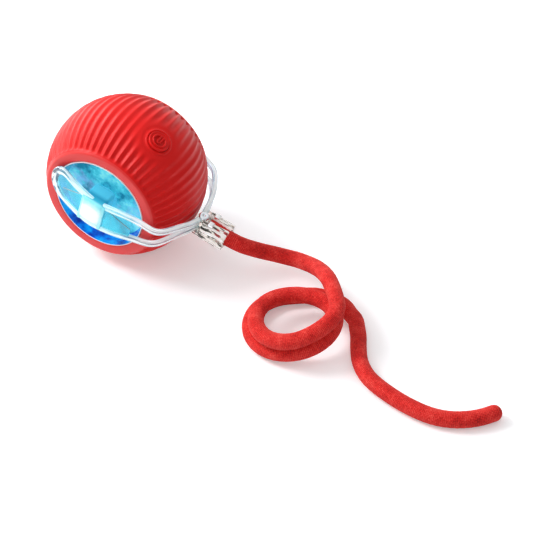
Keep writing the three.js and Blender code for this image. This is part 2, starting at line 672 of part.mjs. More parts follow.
function compoundGear() {
  const small = gear(
    SMALL_TEETH, gapPhase(COMPOUND_DIRECTION_DEG, SMALL_TEETH),
    -OUTPUT_GEAR_OUTER, -SECOND_LAYER_OUTER, COMPOUND_PLACE,
  );
  const large = gear(
    LARGE_TEETH, MOTOR_DIRECTION_DEG, -SECOND_LAYER_OUTER, -SECOND_LAYER_INNER, COMPOUND_PLACE,
  );
  const bore = rod(
    GEAR_PIN_RADIUS + RUN_GAP, -OUTPUT_GEAR_OUTER - OVERRUN, -SECOND_LAYER_INNER + OVERRUN,
    COMPOUND_PLACE, PIN_SIDES,
  );
  return cut(joined(small, large), bore);
}

function motorPinion() {
  const whole = gear(
    SMALL_TEETH, gapPhase(MOTOR_DIRECTION_DEG, SMALL_TEETH),
    -SECOND_LAYER_OUTER, -SECOND_LAYER_INNER, MOTOR_PLACE,
  );
  const bore = rod(
    MOTOR_SHAFT_RADIUS + FIT_GAP, -SECOND_LAYER_OUTER - OVERRUN, -SECOND_LAYER_INNER + OVERRUN,
    MOTOR_PLACE, PIN_SIDES,
  );
  return cut(whole, bore);
}

function gearPin() {
  return rod(
    GEAR_PIN_RADIUS, -DISH_BACK + FIT_GAP, -CHASSIS_INNER - FIT_GAP, COMPOUND_PLACE, PIN_SIDES,
  );
}

// Chassis: a round plate across the ball, cut off straight under the circuit board
function chassisPlate() {
  const radius = Math.sqrt(SHELL_INNER_RADIUS ** 2 - CHASSIS_OUTER ** 2) - CHASSIS_EDGE_GAP;
  const disc = rod(radius, -CHASSIS_OUTER, -CHASSIS_INNER, [0, 0], FINE_SIDES);
  const hole = (holeRadius, place) => rod(
    holeRadius, -CHASSIS_OUTER - OVERRUN, -CHASSIS_INNER + OVERRUN, place, PIN_SIDES,
  );
  const above = facing(block(
    [-DISH_FACE, BOARD_INNER - FIT_GAP, -BALL_RADIUS], [DISH_FACE, BALL_RADIUS, BALL_RADIUS],
  ), BUTTON_DIRECTION_DEG);
  return cut(
    disc, above,
    hole(AXLE_RADIUS + RUN_GAP, [0, 0]),
    hole(GEAR_PIN_RADIUS + FIT_GAP, COMPOUND_PLACE),
    hole(MOTOR_SHAFT_RADIUS + RUN_GAP, MOTOR_PLACE),
    ...COLUMN_PLACES.map((place) => hole(SCREW_RADIUS + FIT_GAP, place)),
  );
}

function motorCan() {
  const can = rod(MOTOR_RADIUS, -MOTOR_FACE, -MOTOR_FACE + MOTOR_LENGTH, MOTOR_PLACE);
  const bore = rod(
    MOTOR_SHAFT_RADIUS + RUN_GAP, -MOTOR_FACE - OVERRUN,
    -MOTOR_FACE + MOTOR_SHAFT_SEAT + RUN_GAP, MOTOR_PLACE, PIN_SIDES,
  );
  return cut(can, bore);
}

function motorEndCap() {
  const from = -MOTOR_FACE + MOTOR_LENGTH + FIT_GAP;
  return rod(MOTOR_CAP_RADIUS, from, from + MOTOR_CAP_THICKNESS, MOTOR_PLACE);
}

function motorShaft() {
  return rod(
    MOTOR_SHAFT_RADIUS, -SECOND_LAYER_OUTER, -MOTOR_FACE + MOTOR_SHAFT_SEAT,
    MOTOR_PLACE, PIN_SIDES,
  );
}

function battery() {
  const from = -MOTOR_FACE;
  return facing(roundedBlock(
    [from, BATTERY_INNER, -BATTERY_WIDTH / 2],
    [from + BATTERY_LENGTH, BATTERY_INNER + BATTERY_THICKNESS, BATTERY_WIDTH / 2],
    BATTERY_ROUNDING,
  ), BATTERY_DIRECTION_DEG);
}

// Circuit board and what is soldered to it, drawn with x along the axis and y outwards
const BOARD_FACE = BOARD_INNER + BOARD_THICKNESS;
const PARTS_BASE = BOARD_FACE + FIT_GAP;
const SWITCH_TOP = PARTS_BASE + SWITCH_HEIGHT;
const STEM_TOP = SWITCH_TOP + SWITCH_STEM_HEIGHT;

const onBoard = (solid) => facing(solid, BUTTON_DIRECTION_DEG);

function circuitBoard() {
  return onBoard(block(
    [BOARD_LEFT, BOARD_INNER, -BOARD_WIDTH / 2], [BOARD_RIGHT, BOARD_FACE, BOARD_WIDTH / 2],
  ));
}

function tactSwitch() {
  const side = SWITCH_SIDE / 2;
  const body = block(
    [BUTTON_OFFSET - side, PARTS_BASE, -side], [BUTTON_OFFSET + side, SWITCH_TOP, side],
  );
  const stem = rod(
    SWITCH_STEM_RADIUS, SWITCH_TOP - SWITCH_HEIGHT / 2, STEM_TOP, [BUTTON_OFFSET, 0], PIN_SIDES,
  );
  return onBoard(joined(body, stem));
}

function controlChip() {
  const side = CHIP_SIDE / 2;
  return onBoard(block(
    [CHIP_ALONG - side, PARTS_BASE, CHIP_ACROSS - side],
    [CHIP_ALONG + side, PARTS_BASE + CHIP_HEIGHT, CHIP_ACROSS + side],
  ));
}

function led(end, across) {
  const outer = end < 0 ? BOARD_LEFT + LED_INSET : BOARD_RIGHT - LED_INSET;
  const inner = outer - end * LED_WIDTH;
  return onBoard(block(
    [Math.min(outer, inner), PARTS_BASE, across - LED_LENGTH / 2],
    [Math.max(outer, inner), PARTS_BASE + LED_HEIGHT, across + LED_LENGTH / 2],
  ));
}

function chargingPort() {
  const middle = PARTS_BASE + PORT_HEIGHT / 2;
  const slab = (from, to, width, height) => block(
    [from, middle - height / 2, -width / 2], [to, middle + height / 2, width / 2],
  );
  const back = DISH_FACE - PORT_LENGTH;
  const mouthBack = DISH_FACE - PORT_DEPTH;
  const can = slab(back, DISH_FACE, PORT_WIDTH, PORT_HEIGHT);
  const mouth = slab(
    mouthBack, DISH_FACE + OVERRUN, PORT_WIDTH - 2 * PORT_WALL, PORT_HEIGHT - 2 * PORT_WALL,
  );
  const tongue = slab(
    mouthBack - PORT_WALL, DISH_FACE - PORT_WALL, PORT_TONGUE_WIDTH, PORT_TONGUE_THICKNESS,
  );
  return onBoard(joined(cut(can, mouth), tongue));
}

// Power button: a silicone pad with a raised ring, and the stiff plunger under it
const BUTTON_TOP = BALL_RADIUS + BUTTON_PROUD;
const BUTTON_BACK = BUTTON_TOP - BUTTON_THICKNESS;

function powerButton() {
  const ringOuter = BUTTON_RING_RADIUS + BUTTON_RING_WIDTH / 2;
  const ringInner = BUTTON_RING_RADIUS - BUTTON_RING_WIDTH / 2;
  const profile = turned([
    [0, BUTTON_BACK],
    [BUTTON_RADIUS, BUTTON_BACK],
    [BUTTON_RADIUS, BUTTON_TOP - BUTTON_RING_HEIGHT],
    [ringOuter, BUTTON_TOP],
    [ringOuter, BUTTON_TOP + BUTTON_RING_HEIGHT],
    [ringInner, BUTTON_TOP + BUTTON_RING_HEIGHT],
    [ringInner, BUTTON_TOP],
    [0, BUTTON_TOP],
  ], ROUND_SIDES);
  return facing(
    solidOf(geometryOf(profile).translate(BUTTON_OFFSET, 0, 0)), BUTTON_DIRECTION_DEG,
  );
}

function buttonPlunger() {
  const bottom = STEM_TOP + SWITCH_SLACK + BUTTON_TRAVEL;
  return buttonTool(PLUNGER_RADIUS, bottom, BUTTON_BACK - FIT_GAP);
}

// Yoke arm: its centre line, from the rounded free end over the hub, past the lip and round the
// ball to the apex. It lies near the plane of x and y.
function armLine() {
  const { degToRad, lerp } = THREE.MathUtils;
  const sag = (end, height, lift) => [
    end / 2, lerp(ARM_AT_HUB, height, ARM_SAG_share), lift * ARM_SAG_share,
  ];
  const over = [
    [-ARM_FREE_SIDE, ARM_AT_FREE_END, ARM_LIFT_AT_FREE_END],
    sag(-ARM_FREE_SIDE, ARM_AT_FREE_END, ARM_LIFT_AT_FREE_END),
    [0, ARM_AT_HUB, 0],
    sag(ARM_TAIL_SIDE, ARM_AT_LIP, 0),
    [ARM_TAIL_SIDE, ARM_AT_LIP, 0],
  ];
  const round = Array.from({ length: ARC_POINTS }, (_, i) => {
    const along = i / (ARC_POINTS - 1);
    const angle = degToRad(lerp(ARC_START_DEG, ARC_END_DEG, along));
    const rise = lerp(ARM_RISE_AT_BEND, ARM_RISE_AT_APEX, Math.sin((Math.PI / 2) * along));
    const radius = ARC_RADIUS + rise;
    const lift = ARM_LIFT_AT_BEND * Math.sin(Math.PI * along) - TAIL_DROP * along;
    return [radius * Math.sin(angle), radius * Math.cos(angle), lift];
  });
  return new THREE.CatmullRomCurve3(
    [...over, ...round].map((place) => new THREE.Vector3(...place)), false, "centripetal",
  );
}

// Half the rails' spread at a length along the arm: a half circle at the free end, parallel over
// the ball's open end, drawn in round the ball
function railSpread(line, length) {
  if (length < RAIL_SPREAD) return Math.sqrt(RAIL_SPREAD ** 2 - (RAIL_SPREAD - length) ** 2);
  const { x } = line.getPointAt(Math.min(length / line.getLength(), 1));
  const from = ARM_TAIL_SIDE / 2;
  const along = THREE.MathUtils.clamp((x - from) / (KNUCKLE_START - from), 0, 1);
  return THREE.MathUtils.lerp(RAIL_SPREAD, RAIL_SPREAD_AT_APEX, along ** RAIL_TAPER_share);
}

// A point of the arm's sheet, at a length along it and a distance beside its centre line
function armStation(line, length, beside) {
  const share = THREE.MathUtils.clamp(length / line.getLength(), 0, 1);
  const point = line.getPointAt(share);
  const along = line.getTangentAt(share);
  point.z += beside;
  return { point, out: new THREE.Vector3(-along.y, along.x, 0).normalize() };
}

// Both rails are one bar: back along the upper one, round the free end, out along the lower one
function armRails() {
  const line = armLine();
  const lengths = Array.from({ length: RAIL_STATIONS + 1 }, (_, i) => (
    THREE.MathUtils.lerp(RAIL_SPREAD, line.getLength(), i / RAIL_STATIONS)
  ));
  const rail = (side) => lengths.map(
    (length) => armStation(line, length, side * railSpread(line, length)),
  );
  const loop = Array.from({ length: LOOP_STEPS - 1 }, (_, i) => {
    const angle = (Math.PI * (i + 1)) / LOOP_STEPS;
    return armStation(line, RAIL_SPREAD * (1 - Math.sin(angle)), RAIL_SPREAD * Math.cos(angle));
  });
  const stations = [...rail(1).toReversed(), ...loop, ...rail(-1)];
  const wide = RAIL_WIDTH / 2;
  const thick = RAIL_THICKNESS / 2;
  const corners = [
    [wide - RAIL_CHAMFER, thick], [wide, thick - RAIL_CHAMFER],
    [wide, RAIL_CHAMFER - thick], [wide - RAIL_CHAMFER, -thick],
    [RAIL_CHAMFER - wide, -thick], [-wide, RAIL_CHAMFER - thick],
    [-wide, thick - RAIL_CHAMFER], [RAIL_CHAMFER - wide, thick],
  ];
  return skinned(stations.map(({ point, out }, i) => {
    const before = stations[Math.max(i - 1, 0)].point;
    const after = stations[Math.min(i + 1, stations.length - 1)].point;
    const along = after.clone().sub(before).normalize();
    const side = along.clone().cross(out).normalize();
    const square = side.clone().cross(along).normalize();
    return corners.map(
      ([a, b]) => point.clone().addScaledVector(side, a).addScaledVector(square, b),
    );
  }));
}

// A thin clear web fills the arm between the rails, over the ball's open end
function armWeb() {
  const line = armLine();
  const end = armLengthAt(line, WEB_TAIL_END);
  const rings = Array.from({ length: WEB_STATIONS + 1 }, (_, i) => {
    const length = THREE.MathUtils.lerp(WEB_INSET, end, i / WEB_STATIONS);
    const spread = railSpread(line, length);
    return [[1, 1], [1, -1], [-1, -1], [-1, 1]].map(([across, through]) => {
      const { point, out } = armStation(line, length, across * spread);
      return point.addScaledVector(out, (through * WEB_THICKNESS) / 2);
    });
  });
  return skinned(rings);
}

// The length along the arm at which it reaches x
function armLengthAt(line, x) {
  const samples = line.getSpacedPoints(ARM_SAMPLES);
  return (line.getLength() * samples.findIndex((point) => point.x >= x)) / ARM_SAMPLES;
}

// Hub: a square block on the arm with a pocket for the axle's head
function armHub() {
  const pocket = AXLE_HEAD_SIDE / 2 + FIT_GAP;
  const hub = roundedBlock(
    [-HUB_LENGTH / 2, HUB_INNER, -HUB_WIDTH / 2],
    [HUB_LENGTH / 2, HUB_OUTER, HUB_WIDTH / 2],
    HUB_ROUNDING,
  );
  const bars = [-1, 1].map((side) => block(
    [side * (HUB_LENGTH / 2) - RAIL_WIDTH / 4, ARM_AT_HUB - RAIL_THICKNESS / 2, -RAIL_SPREAD],
    [side * (HUB_LENGTH / 2) + RAIL_WIDTH / 4, ARM_AT_HUB + RAIL_THICKNESS / 2, RAIL_SPREAD],
  ));
  return { hub: joined(hub, ...bars), pocket: block(
    [-pocket, HUB_INNER - OVERRUN, -pocket], [pocket, POCKET_END, pocket],
  ) };
}

// Knuckle: the block where the rails end, with a lug that the clamp pin goes through
function knuckle(lugSide) {
  const bodyBlock = block(
    [KNUCKLE_START, APEX_GAP / 2, -KNUCKLE_HEIGHT / 2],
    [KNUCKLE_END, APEX_GAP / 2 + KNUCKLE_WIDTH, KNUCKLE_HEIGHT / 2],
  );
  const top = (lugSide * KNUCKLE_HEIGHT) / 2;
  const own = (lugSide * LUG_SPLIT) / 2;
  const lug = upright(LUG_RADIUS, own, top, CLAMP_PIN_X, 0);
  const room = upright(LUG_RADIUS + FIT_GAP, own, -top - lugSide * OVERRUN, CLAMP_PIN_X, 0);
  const hole = upright(
    CLAMP_PIN_RADIUS + FIT_GAP, -KNUCKLE_HEIGHT, KNUCKLE_HEIGHT, CLAMP_PIN_X, 0, PIN_SIDES,
  );
  return { body: joined(bodyBlock, lug), room, hole };
}

// Half of the sleeve that grips the cord, with ridges in its bore and a latch on top
function clampHalf() {
  const outline = new THREE.Shape();
  const [w, h, r] = [CLAMP_WIDTH / 2, CLAMP_HEIGHT / 2, CLAMP_ROUNDING];
  outline.moveTo(0, -h).lineTo(w - r, -h);
  outline.absarc(w - r, r - h, r, -Math.PI / 2, 0, false);
  outline.absarc(w - r, h - r, r, 0, Math.PI / 2, false);
  outline.lineTo(0, h);
  const length = CLAMP_END - KNUCKLE_END + OVERRUN;
  const bar = new THREE.ExtrudeGeometry(outline, {
    depth: length, bevelEnabled: false, curveSegments: 4,
  });
  bar.applyMatrix4(alongX).translate(CLAMP_END - length, 0, 0);
  const bore = boreTool(CLAMP_BORE_RADIUS, CORD_START_X - FIT_GAP, CLAMP_END + OVERRUN);
  const slotHalf = APEX_GAP / 2;
  const slot = new THREE.Shape([
    new THREE.Vector2(KNUCKLE_START, -2 * w),
    new THREE.Vector2(CLAMP_END + OVERRUN, -2 * w),
    new THREE.Vector2(CLAMP_END + OVERRUN, slotHalf),
    new THREE.Vector2(LATCH_X, slotHalf + CLAMP_SLOT_FLARE / 2),
    new THREE.Vector2(KNUCKLE_END, slotHalf + CLAMP_SLOT_FLARE),
    new THREE.Vector2(KNUCKLE_START, slotHalf),
  ]);
  const slotTool = new THREE.ExtrudeGeometry(slot, { depth: 4 * h, bevelEnabled: false });
  slotTool.translate(0, 0, -2 * h);
  const pitch = (CLAMP_END - LATCH_X) / (CLAMP_TOOTH_COUNT + 1);
  const teeth = Array.from({ length: CLAMP_TOOTH_COUNT }, (_, i) => {
    const middle = LATCH_X + pitch * (i + 1);
    const from = middle - CLAMP_TOOTH_LENGTH / 2;
    const to = middle + CLAMP_TOOTH_LENGTH / 2;
    return cut(
      boreTool((CLAMP_BORE_RADIUS + h) / 2, from, to),
      boreTool(CLAMP_BORE_RADIUS - CLAMP_TOOTH_HEIGHT, from - OVERRUN, to + OVERRUN),
    );
  });
  const latchLow = slotHalf + CLAMP_SLOT_FLARE / 2;
  const latch = block(
    [LATCH_X - LATCH_SIDE / 2, latchLow, h - LATCH_HEIGHT],
    [LATCH_X + LATCH_SIDE / 2, latchLow + LATCH_SIDE, h + LATCH_HEIGHT],
  );
  const gripped = joined(cut(solidOf(bar), bore), ...teeth);
  return joined(cut(gripped, solidOf(slotTool)), latch);
}

// Turns a shape drawn in (y, z) and pushed along z into one pushed along x
const alongX = new THREE.Matrix4().makeBasis(
  new THREE.Vector3(0, 1, 0), new THREE.Vector3(0, 0, 1), new THREE.Vector3(1, 0, 0),
);

function boreTool(radius, from, to) {
  const bar = new THREE.CylinderGeometry(radius, radius, to - from, ROUND_SIDES);
  return solidOf(bar.rotateZ(Math.PI / 2).translate((from + to) / 2, 0, 0));
}

// One half of the yoke. The two differ only in which lug lies on top.
function yokeHalf(lugSide) {
  const { hub, pocket } = armHub();
  const { body, room, hole } = knuckle(lugSide);
  const whole = joined(armRails(), armWeb(), hub, dropped(body), dropped(clampHalf()));
  return cut(whole, pocket, dropped(room), dropped(hole));
}

const dropped = (solid) => solid.translate([0, 0, -TAIL_DROP]);

function clampPin() {
  const half = KNUCKLE_HEIGHT / 2 + FIT_GAP;
  const [x, y] = [CLAMP_PIN_X, 0];
  const shank = upright(CLAMP_PIN_RADIUS, -half - OVERRUN / 2, half + OVERRUN / 2, x, y, PIN_SIDES);
  const heads = [-1, 1].map((side) => upright(
    CLAMP_PIN_HEAD_RADIUS, side * half, side * (half + CLAMP_PIN_HEAD_HEIGHT), x, y, PIN_SIDES,
  ));
  return dropped(joined(shank, ...heads));
}

// Tail cord: from the clamp it dips to the floor, climbs to a loose coil of two layers and runs
// out along the floor. The stretches between the clamp and the coil, and after the coil, follow
// points that were set by hand.
const CORD_LEAD_ROUTE = [
  [39.6, 0.3, 13.3],
  [41.8, 1.3, 12.0],
  [43.6, 2.7, 10.7],
  [45.2, 4.3, 9.3],
  [47.0, 5.9, 8.0],
  [49.1, 7.6, 6.8],
  [51.4, 8.8, 6.0],
  [53.9, 9.6, 5.6],
  [56.7, 9.9, 5.7],
  [59.9, 9.4, 6.3],
  [63.5, 8.0, 7.6],
  [67.6, 5.5, 9.5],
  [71.6, 1.9, 11.8],
  [74.4, -1.0, 13.1],
];
const CORD_END_ROUTE = [
  [69.4, 1.3],
  [72.5, 1.5],
  [75.8, 1.7],
  [79.2, 0.9],
  [82.2, -1.3],
  [84.8, -2.8],
  [86.9, -5.8],
  [88.9, -8.8],
  [91.3, -13.5],
  [94.0, -18.0],
  [96.7, -21.0],
  [99.8, -23.4],
  [103.1, -25.0],
  [106.5, -26.2],
  [112.7, -27.8],
  [118.4, -28.6],
  [123.7, -28.6],
  [128.4, -27.5],
  [132.7, -25.3],
  [136.5, -22.2],
  [139.4, -18.6],
];

function coilPoint(turnedDeg) {
  const { lerp, smoothstep, degToRad } = THREE.MathUtils;
  const shift = smoothstep(turnedDeg, ...COIL_SHIFT_DEG);
  const leadIn = COIL_LEAD_IN * (1 - smoothstep(turnedDeg, 0, COIL_LEAD_IN_DEG));
  const radius = lerp(COIL_RADIUS, COIL_LOWER_RADIUS, shift) + leadIn;
  const drops = smoothstep(turnedDeg, ...COIL_FIRST_DROP_DEG)
    + smoothstep(turnedDeg, ...COIL_LAST_DROP_DEG);
  const angle = degToRad(COIL_START_DEG - turnedDeg);
  return new THREE.Vector3(
    lerp(COIL_PLACE[0], COIL_LOWER_PLACE[0], shift) + radius * Math.cos(angle),
    lerp(COIL_PLACE[1], COIL_LOWER_PLACE[1], shift) + radius * Math.sin(angle),
    CORD_RADIUS + (2 - drops) * CORD_LEVEL,
  );
}

// The coil's middle line, with a straight stretch of one cord diameter before and after it
function coilLine() {
  const steps = Math.round((COIL_STEPS_PER_TURN * COIL_TURN_DEG) / FULL_TURN_DEG);
  const loops = Array.from({ length: steps + 1 }, (_, i) => coilPoint((COIL_TURN_DEG * i) / steps));
  const heading = (deg, towards) => coilPoint(deg + towards).sub(coilPoint(deg))
    .setLength(CORD_DIAMETER);
  return [
    loops[0].clone().add(heading(0, -COIL_HEADING_DEG)),
    ...loops,
    loops[steps].clone().add(heading(COIL_TURN_DEG, COIL_HEADING_DEG)),
  ];
}

// The least distance between loops of the coil, between faces
function coilGap(line) {
  const apart = COIL_STEPS_PER_TURN / 2;
  let least = Infinity;
  line.forEach((point, i) => {
    for (const other of line.slice(i + apart)) least = Math.min(least, point.distanceTo(other));
  });
  return least - CORD_DIAMETER;
}

// A round tube along points, its sides carried on from one ring to the next
function tube(points, radius, sides) {
  const last = points.length - 1;
  const across = new THREE.Vector3(0, 0, 1);
  return skinned(points.map((point, i) => {
    const along = points[Math.min(i + 1, last)].clone().sub(points[Math.max(i - 1, 0)]).normalize();
    across.addScaledVector(along, -across.dot(along)).normalize();
    const beside = along.clone().cross(across);
    return Array.from({ length: sides }, (unused, side) => {
      const angle = (2 * Math.PI * side) / sides;
      return point.clone()
        .addScaledVector(across, radius * Math.cos(angle))
        .addScaledVector(beside, radius * Math.sin(angle));
    });
  }));
}

// A free stretch of the cord: a many-sided section pushed along a smooth curve
function cordStretch(points) {
  const route = new THREE.CatmullRomCurve3(points, false, "centripetal");
  const section = new THREE.Shape(
    Array.from({ length: CORD_SIDES }, (_, i) => polar(CORD_RADIUS, (2 * Math.PI * i) / CORD_SIDES)),
  );
  const steps = Math.round(route.getLength() / (CORD_STEP_DIAMETERS * CORD_DIAMETER));
  return solidOf(new THREE.ExtrudeGeometry(section, {
    steps, extrudePath: route, bevelEnabled: false,
  }));
}

function fromYoke(x) {
  const place = new THREE.Vector3(x, 0, -TAIL_DROP);
  place.applyAxisAngle(new THREE.Vector3(0, 1, 0), TAIL_PITCH);
  place.z += CENTRE_HEIGHT;
  return place;
}

function cordLead(coil) {
  const before = coil[0].clone().sub(coil[1]).setLength(FIT_GAP).add(coil[0]);
  const middle = (CORD_START_X + CLAMP_END) / 2;
  return cordStretch([
    fromYoke(CORD_START_X),
    fromYoke(middle),
    fromYoke(CLAMP_END),
    ...CORD_LEAD_ROUTE.map((place) => new THREE.Vector3(...place)),
    before,
  ]);
}

function cordEnd(coil) {
  const [last, beforeLast] = [coil[coil.length - 1], coil[coil.length - 2]];
  const after = last.clone().sub(beforeLast).setLength(FIT_GAP).add(last);
  const route = CORD_END_ROUTE.map(([x, y]) => new THREE.Vector3(x, y, CORD_RADIUS));
  const tip = new THREE.SphereGeometry(CORD_RADIUS, CORD_SIDES, CORD_SIDES);
  const end = route[route.length - 1];
  tip.rotateX(Math.PI / 2).translate(end.x, end.y, end.z);
  return joined(cordStretch([after, ...route]), solidOf(tip));
}

// The part: the yoke with what it holds still, and the ball that turns in it
const part = new THREE.Group();
const yoke = new THREE.Group();
const ball = new THREE.Group();
yoke.position.z = CENTRE_HEIGHT;
yoke.rotation.y = TAIL_PITCH;
ball.position.z = CENTRE_HEIGHT;
part.add(yoke, ball);

yoke.add(
  piece("yoke_left", mirrored(yokeHalf(1)), finishes.clear),
  piece("yoke_right", yokeHalf(-1), finishes.clear),
  piece("clamp_pin", clampPin(), finishes.steel),
  piece("drive_axle", driveAxle(), finishes.steel),
  piece("idle_axle", axle(IDLE_AXLE_LENGTH), finishes.steel),
);

ball.add(
  piece("silicone_sleeve", siliconeSleeve(), finishes.silicone),
  piece("shell_left", shellLeft(), finishes.glowing),
  piece("shell_right", shellRight(), finishes.glowing),
  piece("bush_left", mirrored(bush()), finishes.acetal),
  piece("bush_right", bush(), finishes.acetal),
  piece("chassis_plate", chassisPlate(), finishes.black),
  piece("output_gear", outputGear(), finishes.acetal),
  piece("compound_gear", compoundGear(), finishes.acetal),
  piece("gear_pin", gearPin(), finishes.steel),
  piece("pinion", motorPinion(), finishes.brass),
  piece("motor_shaft", motorShaft(), finishes.steel),
  piece("motor_can", motorCan(), finishes.steel),
  piece("motor_end_cap", motorEndCap(), finishes.black),
  piece("battery", battery(), finishes.cell),
  piece("circuit_board", circuitBoard(), finishes.board),
  piece("tact_switch", tactSwitch(), finishes.black),
  piece("control_chip", controlChip(), finishes.black),
  piece("charging_port", chargingPort(), finishes.steel),
  piece("power_button", powerButton(), finishes.silicone),
  piece("button_plunger", buttonPlunger(), finishes.acetal),
);
COLUMN_PLACES.forEach((place, i) => {
  ball.add(piece(`shell_screw_${i + 1}`, shellScrew(place), finishes.steel));
});
for (const [side, end] of [["left", -1], ["right", 1]]) {
  [-LED_ACROSS, LED_ACROSS].forEach((across, i) => {
    ball.add(piece(`led_${side}_${i + 1}`, led(end, across), finishes.acetal));
  });
}

const coil = coilLine();
const gap = coilGap(coil);
console.log(`tail_cord_coil: least gap between its loops ${gap.toFixed(2)} mm`);
if (gap < COIL_LEAST_GAP) throw new Error("the coil's loops come too close to each other");
part.add(
  piece("tail_cord_lead", cordLead(coil), finishes.cord),
  piece("tail_cord_coil", tube(coil, CORD_RADIUS, COIL_SIDES), finishes.cord),
  piece("tail_cord_end", cordEnd(coil), finishes.cord),
);

export default part;
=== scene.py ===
import math

import bmesh
import bpy
import numpy as np
from mathutils import Matrix, Vector


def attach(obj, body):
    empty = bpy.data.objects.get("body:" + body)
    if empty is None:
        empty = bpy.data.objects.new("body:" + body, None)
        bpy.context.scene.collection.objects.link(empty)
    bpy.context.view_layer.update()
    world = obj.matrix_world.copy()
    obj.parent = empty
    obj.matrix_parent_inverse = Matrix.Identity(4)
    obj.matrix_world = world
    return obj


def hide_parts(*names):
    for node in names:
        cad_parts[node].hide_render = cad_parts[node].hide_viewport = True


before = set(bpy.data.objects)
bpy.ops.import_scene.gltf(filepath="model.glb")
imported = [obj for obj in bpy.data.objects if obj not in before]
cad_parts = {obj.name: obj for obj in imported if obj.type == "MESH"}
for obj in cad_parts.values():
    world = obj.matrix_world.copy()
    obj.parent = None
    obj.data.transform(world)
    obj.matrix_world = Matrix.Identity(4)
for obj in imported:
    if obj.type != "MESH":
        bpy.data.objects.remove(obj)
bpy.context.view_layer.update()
MM = 0.001

# Sizes shared with the CAD
BALL_RADIUS = 26.0
CENTRE_HEIGHT = 25.75
LIP_HEIGHT = 17.2
LIP_WALL = 1.4
SLEEVE_INNER_RADIUS = 24.3
SHELL_RADIUS = 24.0
SHELL_WALL = 1.2
SHOULDER_HEIGHT = 15.5
CAVITY_TOP = 14.3
DISH_RADIUS = 15.8
RECESS_RADIUS = 17.0
DISH_FACE = 12.8
DISH_BACK = 11.6
BORE_RADIUS = 3.5
BORE_BOSS_RADIUS = 5.4
BORE_BOSS_FACE = 10.6
SEAM_HALF = 0.15
BUTTON_DIRECTION = math.radians(55.5)
BUTTON_OFFSET = -2.9
BUTTON_RADIUS = 3.5
TAIL_PITCH = math.radians(16)
TAIL_DROP = 0.9

# Openings finer than the solids', as the photograph shows them
RIM_RADIUS = 16.12
LIP_SEEN_RADIUS = 16.24
BUTTON_GAP = 0.12

# What rests on the floor stops this far above it
RESTING_HEIGHT = 0.02

# Yoke, in its own frame: x towards the tail, y outward, z up before it is turned down. The hub's
# height, the rails' spread, slimness and width at the free end, and the arm's lifts there and at
# the lip are fitted to the photograph. The pocket ends 0.1 mm further out than the solid's. The
# other sizes are shared with the CAD.
HUB_LENGTH = 7.4
HUB_LOW = -3.6
HUB_TOP = 5.9
HUB_INNER = 14.4
HUB_OUTER = 22.6
HUB_PROUD = 0.5
POCKET_HALF = 2.5
POCKET_END = 18.7
RAIL_WIDTH = 2.2
RAIL_WIDTH_AT_FREE_END = 2.7
RAIL_THICKNESS = 2.1
RAIL_SHRINK = 0.18
RAIL_SPREAD = 4.9
RAIL_SPREAD_AT_APEX = 1.3
RAIL_CLEARANCE = 0.4
RAIL_TAPER = 1.6
ARM_TAIL_SIDE = 15.0
ARM_RISE_AT_TAIL_SIDE = 0.5
ARM_FREE_SIDE = 16.0
ARM_LIFT = 2.6
ARM_LIFT_AT_FREE_END = 3.5
ARM_LIFT_AT_LIP = 1.1
ARM_RISE_AT_BEND = 0.45
ARM_RISE_AT_APEX = 0.85
ARM_SAG = 0.35
ARC_START_DEG = 50
ARC_END_DEG = 86
ARC_POINTS = 5
WEB_THICKNESS = 0.9
WEB_TAIL_END = 13.5
SLOT_HALF = 0.6
KNUCKLE_START = 27.6
KNUCKLE_END = 31.2
KNUCKLE_WIDTH = 3.6
KNUCKLE_HEIGHT = 4.8
LUG_RADIUS = 2.3
LUG_GAP = 0.3
PIN_X = 29.1
PIN_RADIUS = 1.0
PIN_HEAD_RADIUS = 1.7
PIN_HEAD_HEIGHT = 0.8
CLAMP_END = 38.9
CLAMP_HALF_WIDTH = 4.3
CLAMP_HALF_HEIGHT = 3.65
CLAMP_ROUNDING = 2.3
CLAMP_BORE_START = 31.3
CLAMP_BORE_RADIUS = 3.0
CLAMP_TEETH = (34.4, 35.9, 37.4)
CLAMP_TOOTH_HEIGHT = 0.2
SLOT_FLARE = 1.3
LATCH_X = 32.9
LATCH_SIDE = 1.9
LATCH_HEIGHT = 0.7

# Rope
CORD_DIAMETER = 5.0
CORD_START_X = 31.6
CORD_LEVEL = 5.54
COIL_TURN_DEG = 640
COIL_START_DEG = 42
COIL_STEPS_PER_TURN = 24
COIL_RADIUS = 11.3
COIL_LOWER_RADIUS = 13.7
COIL_LEAD_IN = 2.8
COIL_LEAD_IN_DEG = 80
COIL_PLACE = (70.1, -17.6)
COIL_LOWER_PLACE = (69.2, -14.8)
COIL_SHIFT_DEG = (270, 430)
COIL_FIRST_DROP_DEG = (0, 170)
COIL_LAST_DROP_DEG = (360, 530)
CORD_LEAD_ROUTE = [
    (39.6, 0.3, 13.3), (41.8, 1.3, 12.0), (43.6, 2.7, 10.7), (45.2, 4.3, 9.3),
    (47.0, 5.9, 8.0), (49.1, 7.6, 6.8), (51.4, 8.8, 6.0), (53.9, 9.6, 5.6), (56.7, 9.9, 5.7),
    (59.9, 9.4, 6.3), (63.5, 8.0, 7.6), (67.6, 5.5, 9.5), (71.6, 1.9, 11.8), (74.4, -1.0, 13.1),
]
CORD_END_ROUTE = [
    (69.4, 1.3), (72.5, 1.5), (75.8, 1.7), (79.2, 0.9), (82.2, -1.3), (84.8, -2.8),
    (86.9, -5.8), (88.9, -8.8), (91.3, -13.5), (94.0, -18.0), (96.7, -21.0), (99.8, -23.4),
    (103.1, -25.0), (106.5, -26.2), (112.7, -27.8), (118.4, -28.6), (123.7, -28.6),
    (128.4, -27.5), (132.7, -25.3), (136.5, -22.2), (139.4, -18.6),
]


